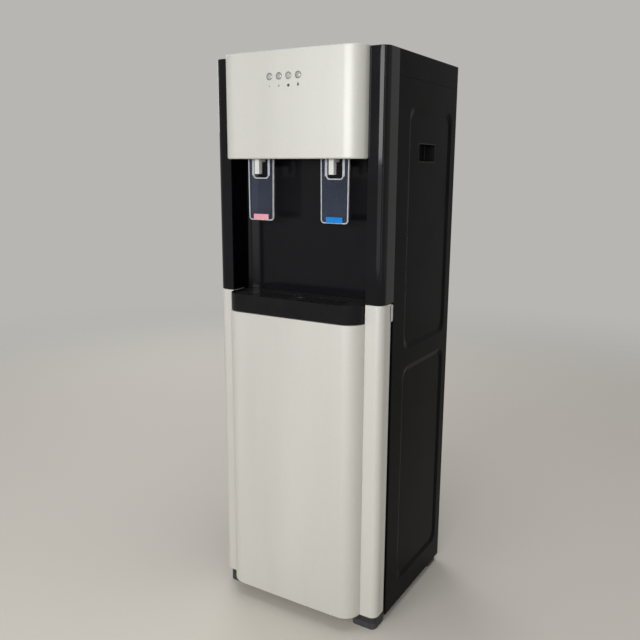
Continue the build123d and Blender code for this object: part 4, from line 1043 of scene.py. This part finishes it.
def makeNozzles():
    x, half = -tap["spread"], tap["nozzleWidth"] / 2
    front, back, tip = tap["nozzleFront"], tap["nozzleBack"], tap["nozzleTip"]
    hot = addBlock("hotNozzle", (x - half, front, tip), (x + half, back, tap["nozzleTop"]))
    rounded(hot, along("z"), tap["nozzleRound"], 4)
    # the neck starts a little inside the nozzle, and reaches back to the valve
    start, end = back - tap["neckOver"], tap["valveFront"]
    cutWith(hot, addRod("neck", (x, (start + end) / 2, tap["neckHeight"]), tap["neckRadius"],
                        end - start, "Y", 32), "UNION")
    cutWith(hot, addRod("spout", (x, (front + back) / 2, tip + tap["spoutRise"]), tap["spout"],
                        tap["spoutDrill"], "Z", 32))
    roundEdges(hot, tap["edge"], 2, 40)
    cold = copyOf(hot, "coldNozzle", (2 * tap["spread"], 0, 0))
    for piece, node in ((hot, "hot_nozzle"), (cold, "cold_nozzle")):
        smooth(piece)
        place(piece, "cabinet", "whitePlastic", "white_plastic", node)


lever = {"width": 0.054, "front": -0.142, "back": -0.139, "bottom": 0.7595, "pivot": 0.895,
         "corner": 0.006, "forkWidth": 0.030, "forkFloor": 0.836, "forkCorner": 0.0045,
         "bridge": (0.8815, 0.8885), "hub": 0.005, "pin": 0.00205, "over": 0.01,
         "rim": 0.0020, "rimRise": 0.0007, "forkRim": 0.0024, "edge": 0.0003,
         "flare": 0.0012, "flareFrom": 0.840, "flareTo": 0.872}


def makePaddles():
    x, half, gap = -tap["spread"], lever["width"] / 2, lever["forkWidth"] / 2
    front, back, over = lever["front"], lever["back"], lever["over"]
    bottom, forkFloor, pivot = lever["bottom"], lever["forkFloor"], lever["pivot"]
    low, high = lever["bridge"]
    hot = addBlock("hotPaddle", (x - half, front, bottom), (x + half, back, pivot))
    rounded(hot, lambda m, d: abs(d.y) > mostly and m.z < bottom + 100 * near,
            lever["corner"], 7)
    fork = addBlock("fork", (x - gap, front - over, forkFloor), (x + gap, back + over, low))
    rounded(fork, lambda m, d: abs(d.y) > mostly and m.z < forkFloor + 100 * near,
            lever["forkCorner"], 6)
    cutWith(hot, fork)
    cutWith(hot, addBlock("head", (x - gap, front - over, high),
                          (x + gap, back + over, pivot + over)))
    # the plate is sunk between a raised rim, whose whitish colour is a painted highlight along the
    # paddle's edges
    hot.data.materials.append(finishes["clearPlastic"])
    hot.data.materials.append(finishes["clearEdgeHighlight"])
    edit(hot)
    pick(hot, lambda m, n: abs(n.y) < mostly)
    hot.active_material_index = 1
    bpy.ops.object.material_slot_assign()
    pick(hot, facing("y", -1))
    bpy.ops.object.material_slot_assign()
    bpy.ops.mesh.inset(thickness=lever["rim"], depth=0)
    hot.active_material_index = 0
    bpy.ops.object.material_slot_assign()
    pull(y=lever["rimRise"])
    # the arms spread towards the top, and their rim is wider along the fork
    mesh = bmesh.from_edit_mesh(hot.data)
    for corner in mesh.verts:
        reach = corner.co.x - x
        way = 1 if reach > 0 else -1
        rise = (corner.co.z - lever["flareFrom"]) / (lever["flareTo"] - lever["flareFrom"])
        if abs(reach) > (half + gap) / 2:
            corner.co.x += lever["flare"] * min(max(rise, 0), 1) * way
        if abs(abs(reach) - gap - lever["rim"]) < 40 * near and rise > 0:
            corner.co.x += lever["forkRim"] * way
    bmesh.update_edit_mesh(hot.data)
    bpy.ops.object.mode_set(mode="OBJECT")
    middleY = (front + back) / 2
    for end in (-1, 1):
        cutWith(hot, addRod("hub", (x + end * (gap + half) / 2, middleY, pivot), lever["hub"],
                            half - gap, "X", 36), "UNION")
    cutWith(hot, addRod("pin", (x, middleY, pivot), lever["pin"], 2 * half + over, "X", 28))
    roundEdges(hot, lever["edge"], 2, 40)
    cold = copyOf(hot, "coldPaddle", (2 * tap["spread"], 0, 0))
    for piece, name in ((hot, "hot"), (cold, "cold")):
        smooth(piece)
        place(piece, name + "_lever", None, "clear_plastic", name + "_paddle")


tagPlate = {"width": 0.0325, "height": 0.0102, "thick": 0.001, "bottom": 0.7605,
            "corner": 0.0012, "edge": 0.0003}


def makeTags():
    x, half, bottom = -tap["spread"], tagPlate["width"] / 2, tagPlate["bottom"]
    hot = addBlock("hotTag", (x - half, lever["front"] - tagPlate["thick"], bottom),
                   (x + half, lever["front"] + lever["rimRise"], bottom + tagPlate["height"]))
    rounded(hot, along("y"), tagPlate["corner"], 4)
    roundEdges(hot, tagPlate["edge"], 2, 40)
    cold = copyOf(hot, "coldTag", (2 * tap["spread"], 0, 0))
    for piece, name in ((hot, "hot"), (cold, "cold")):
        smooth(piece)
        place(piece, name + "_lever", name + "Tag", name + "_tag", name + "_tag")


makeTray()
makeGrille()
makeNozzles()
makePaddles()
makeTags()
print("tray and taps made")
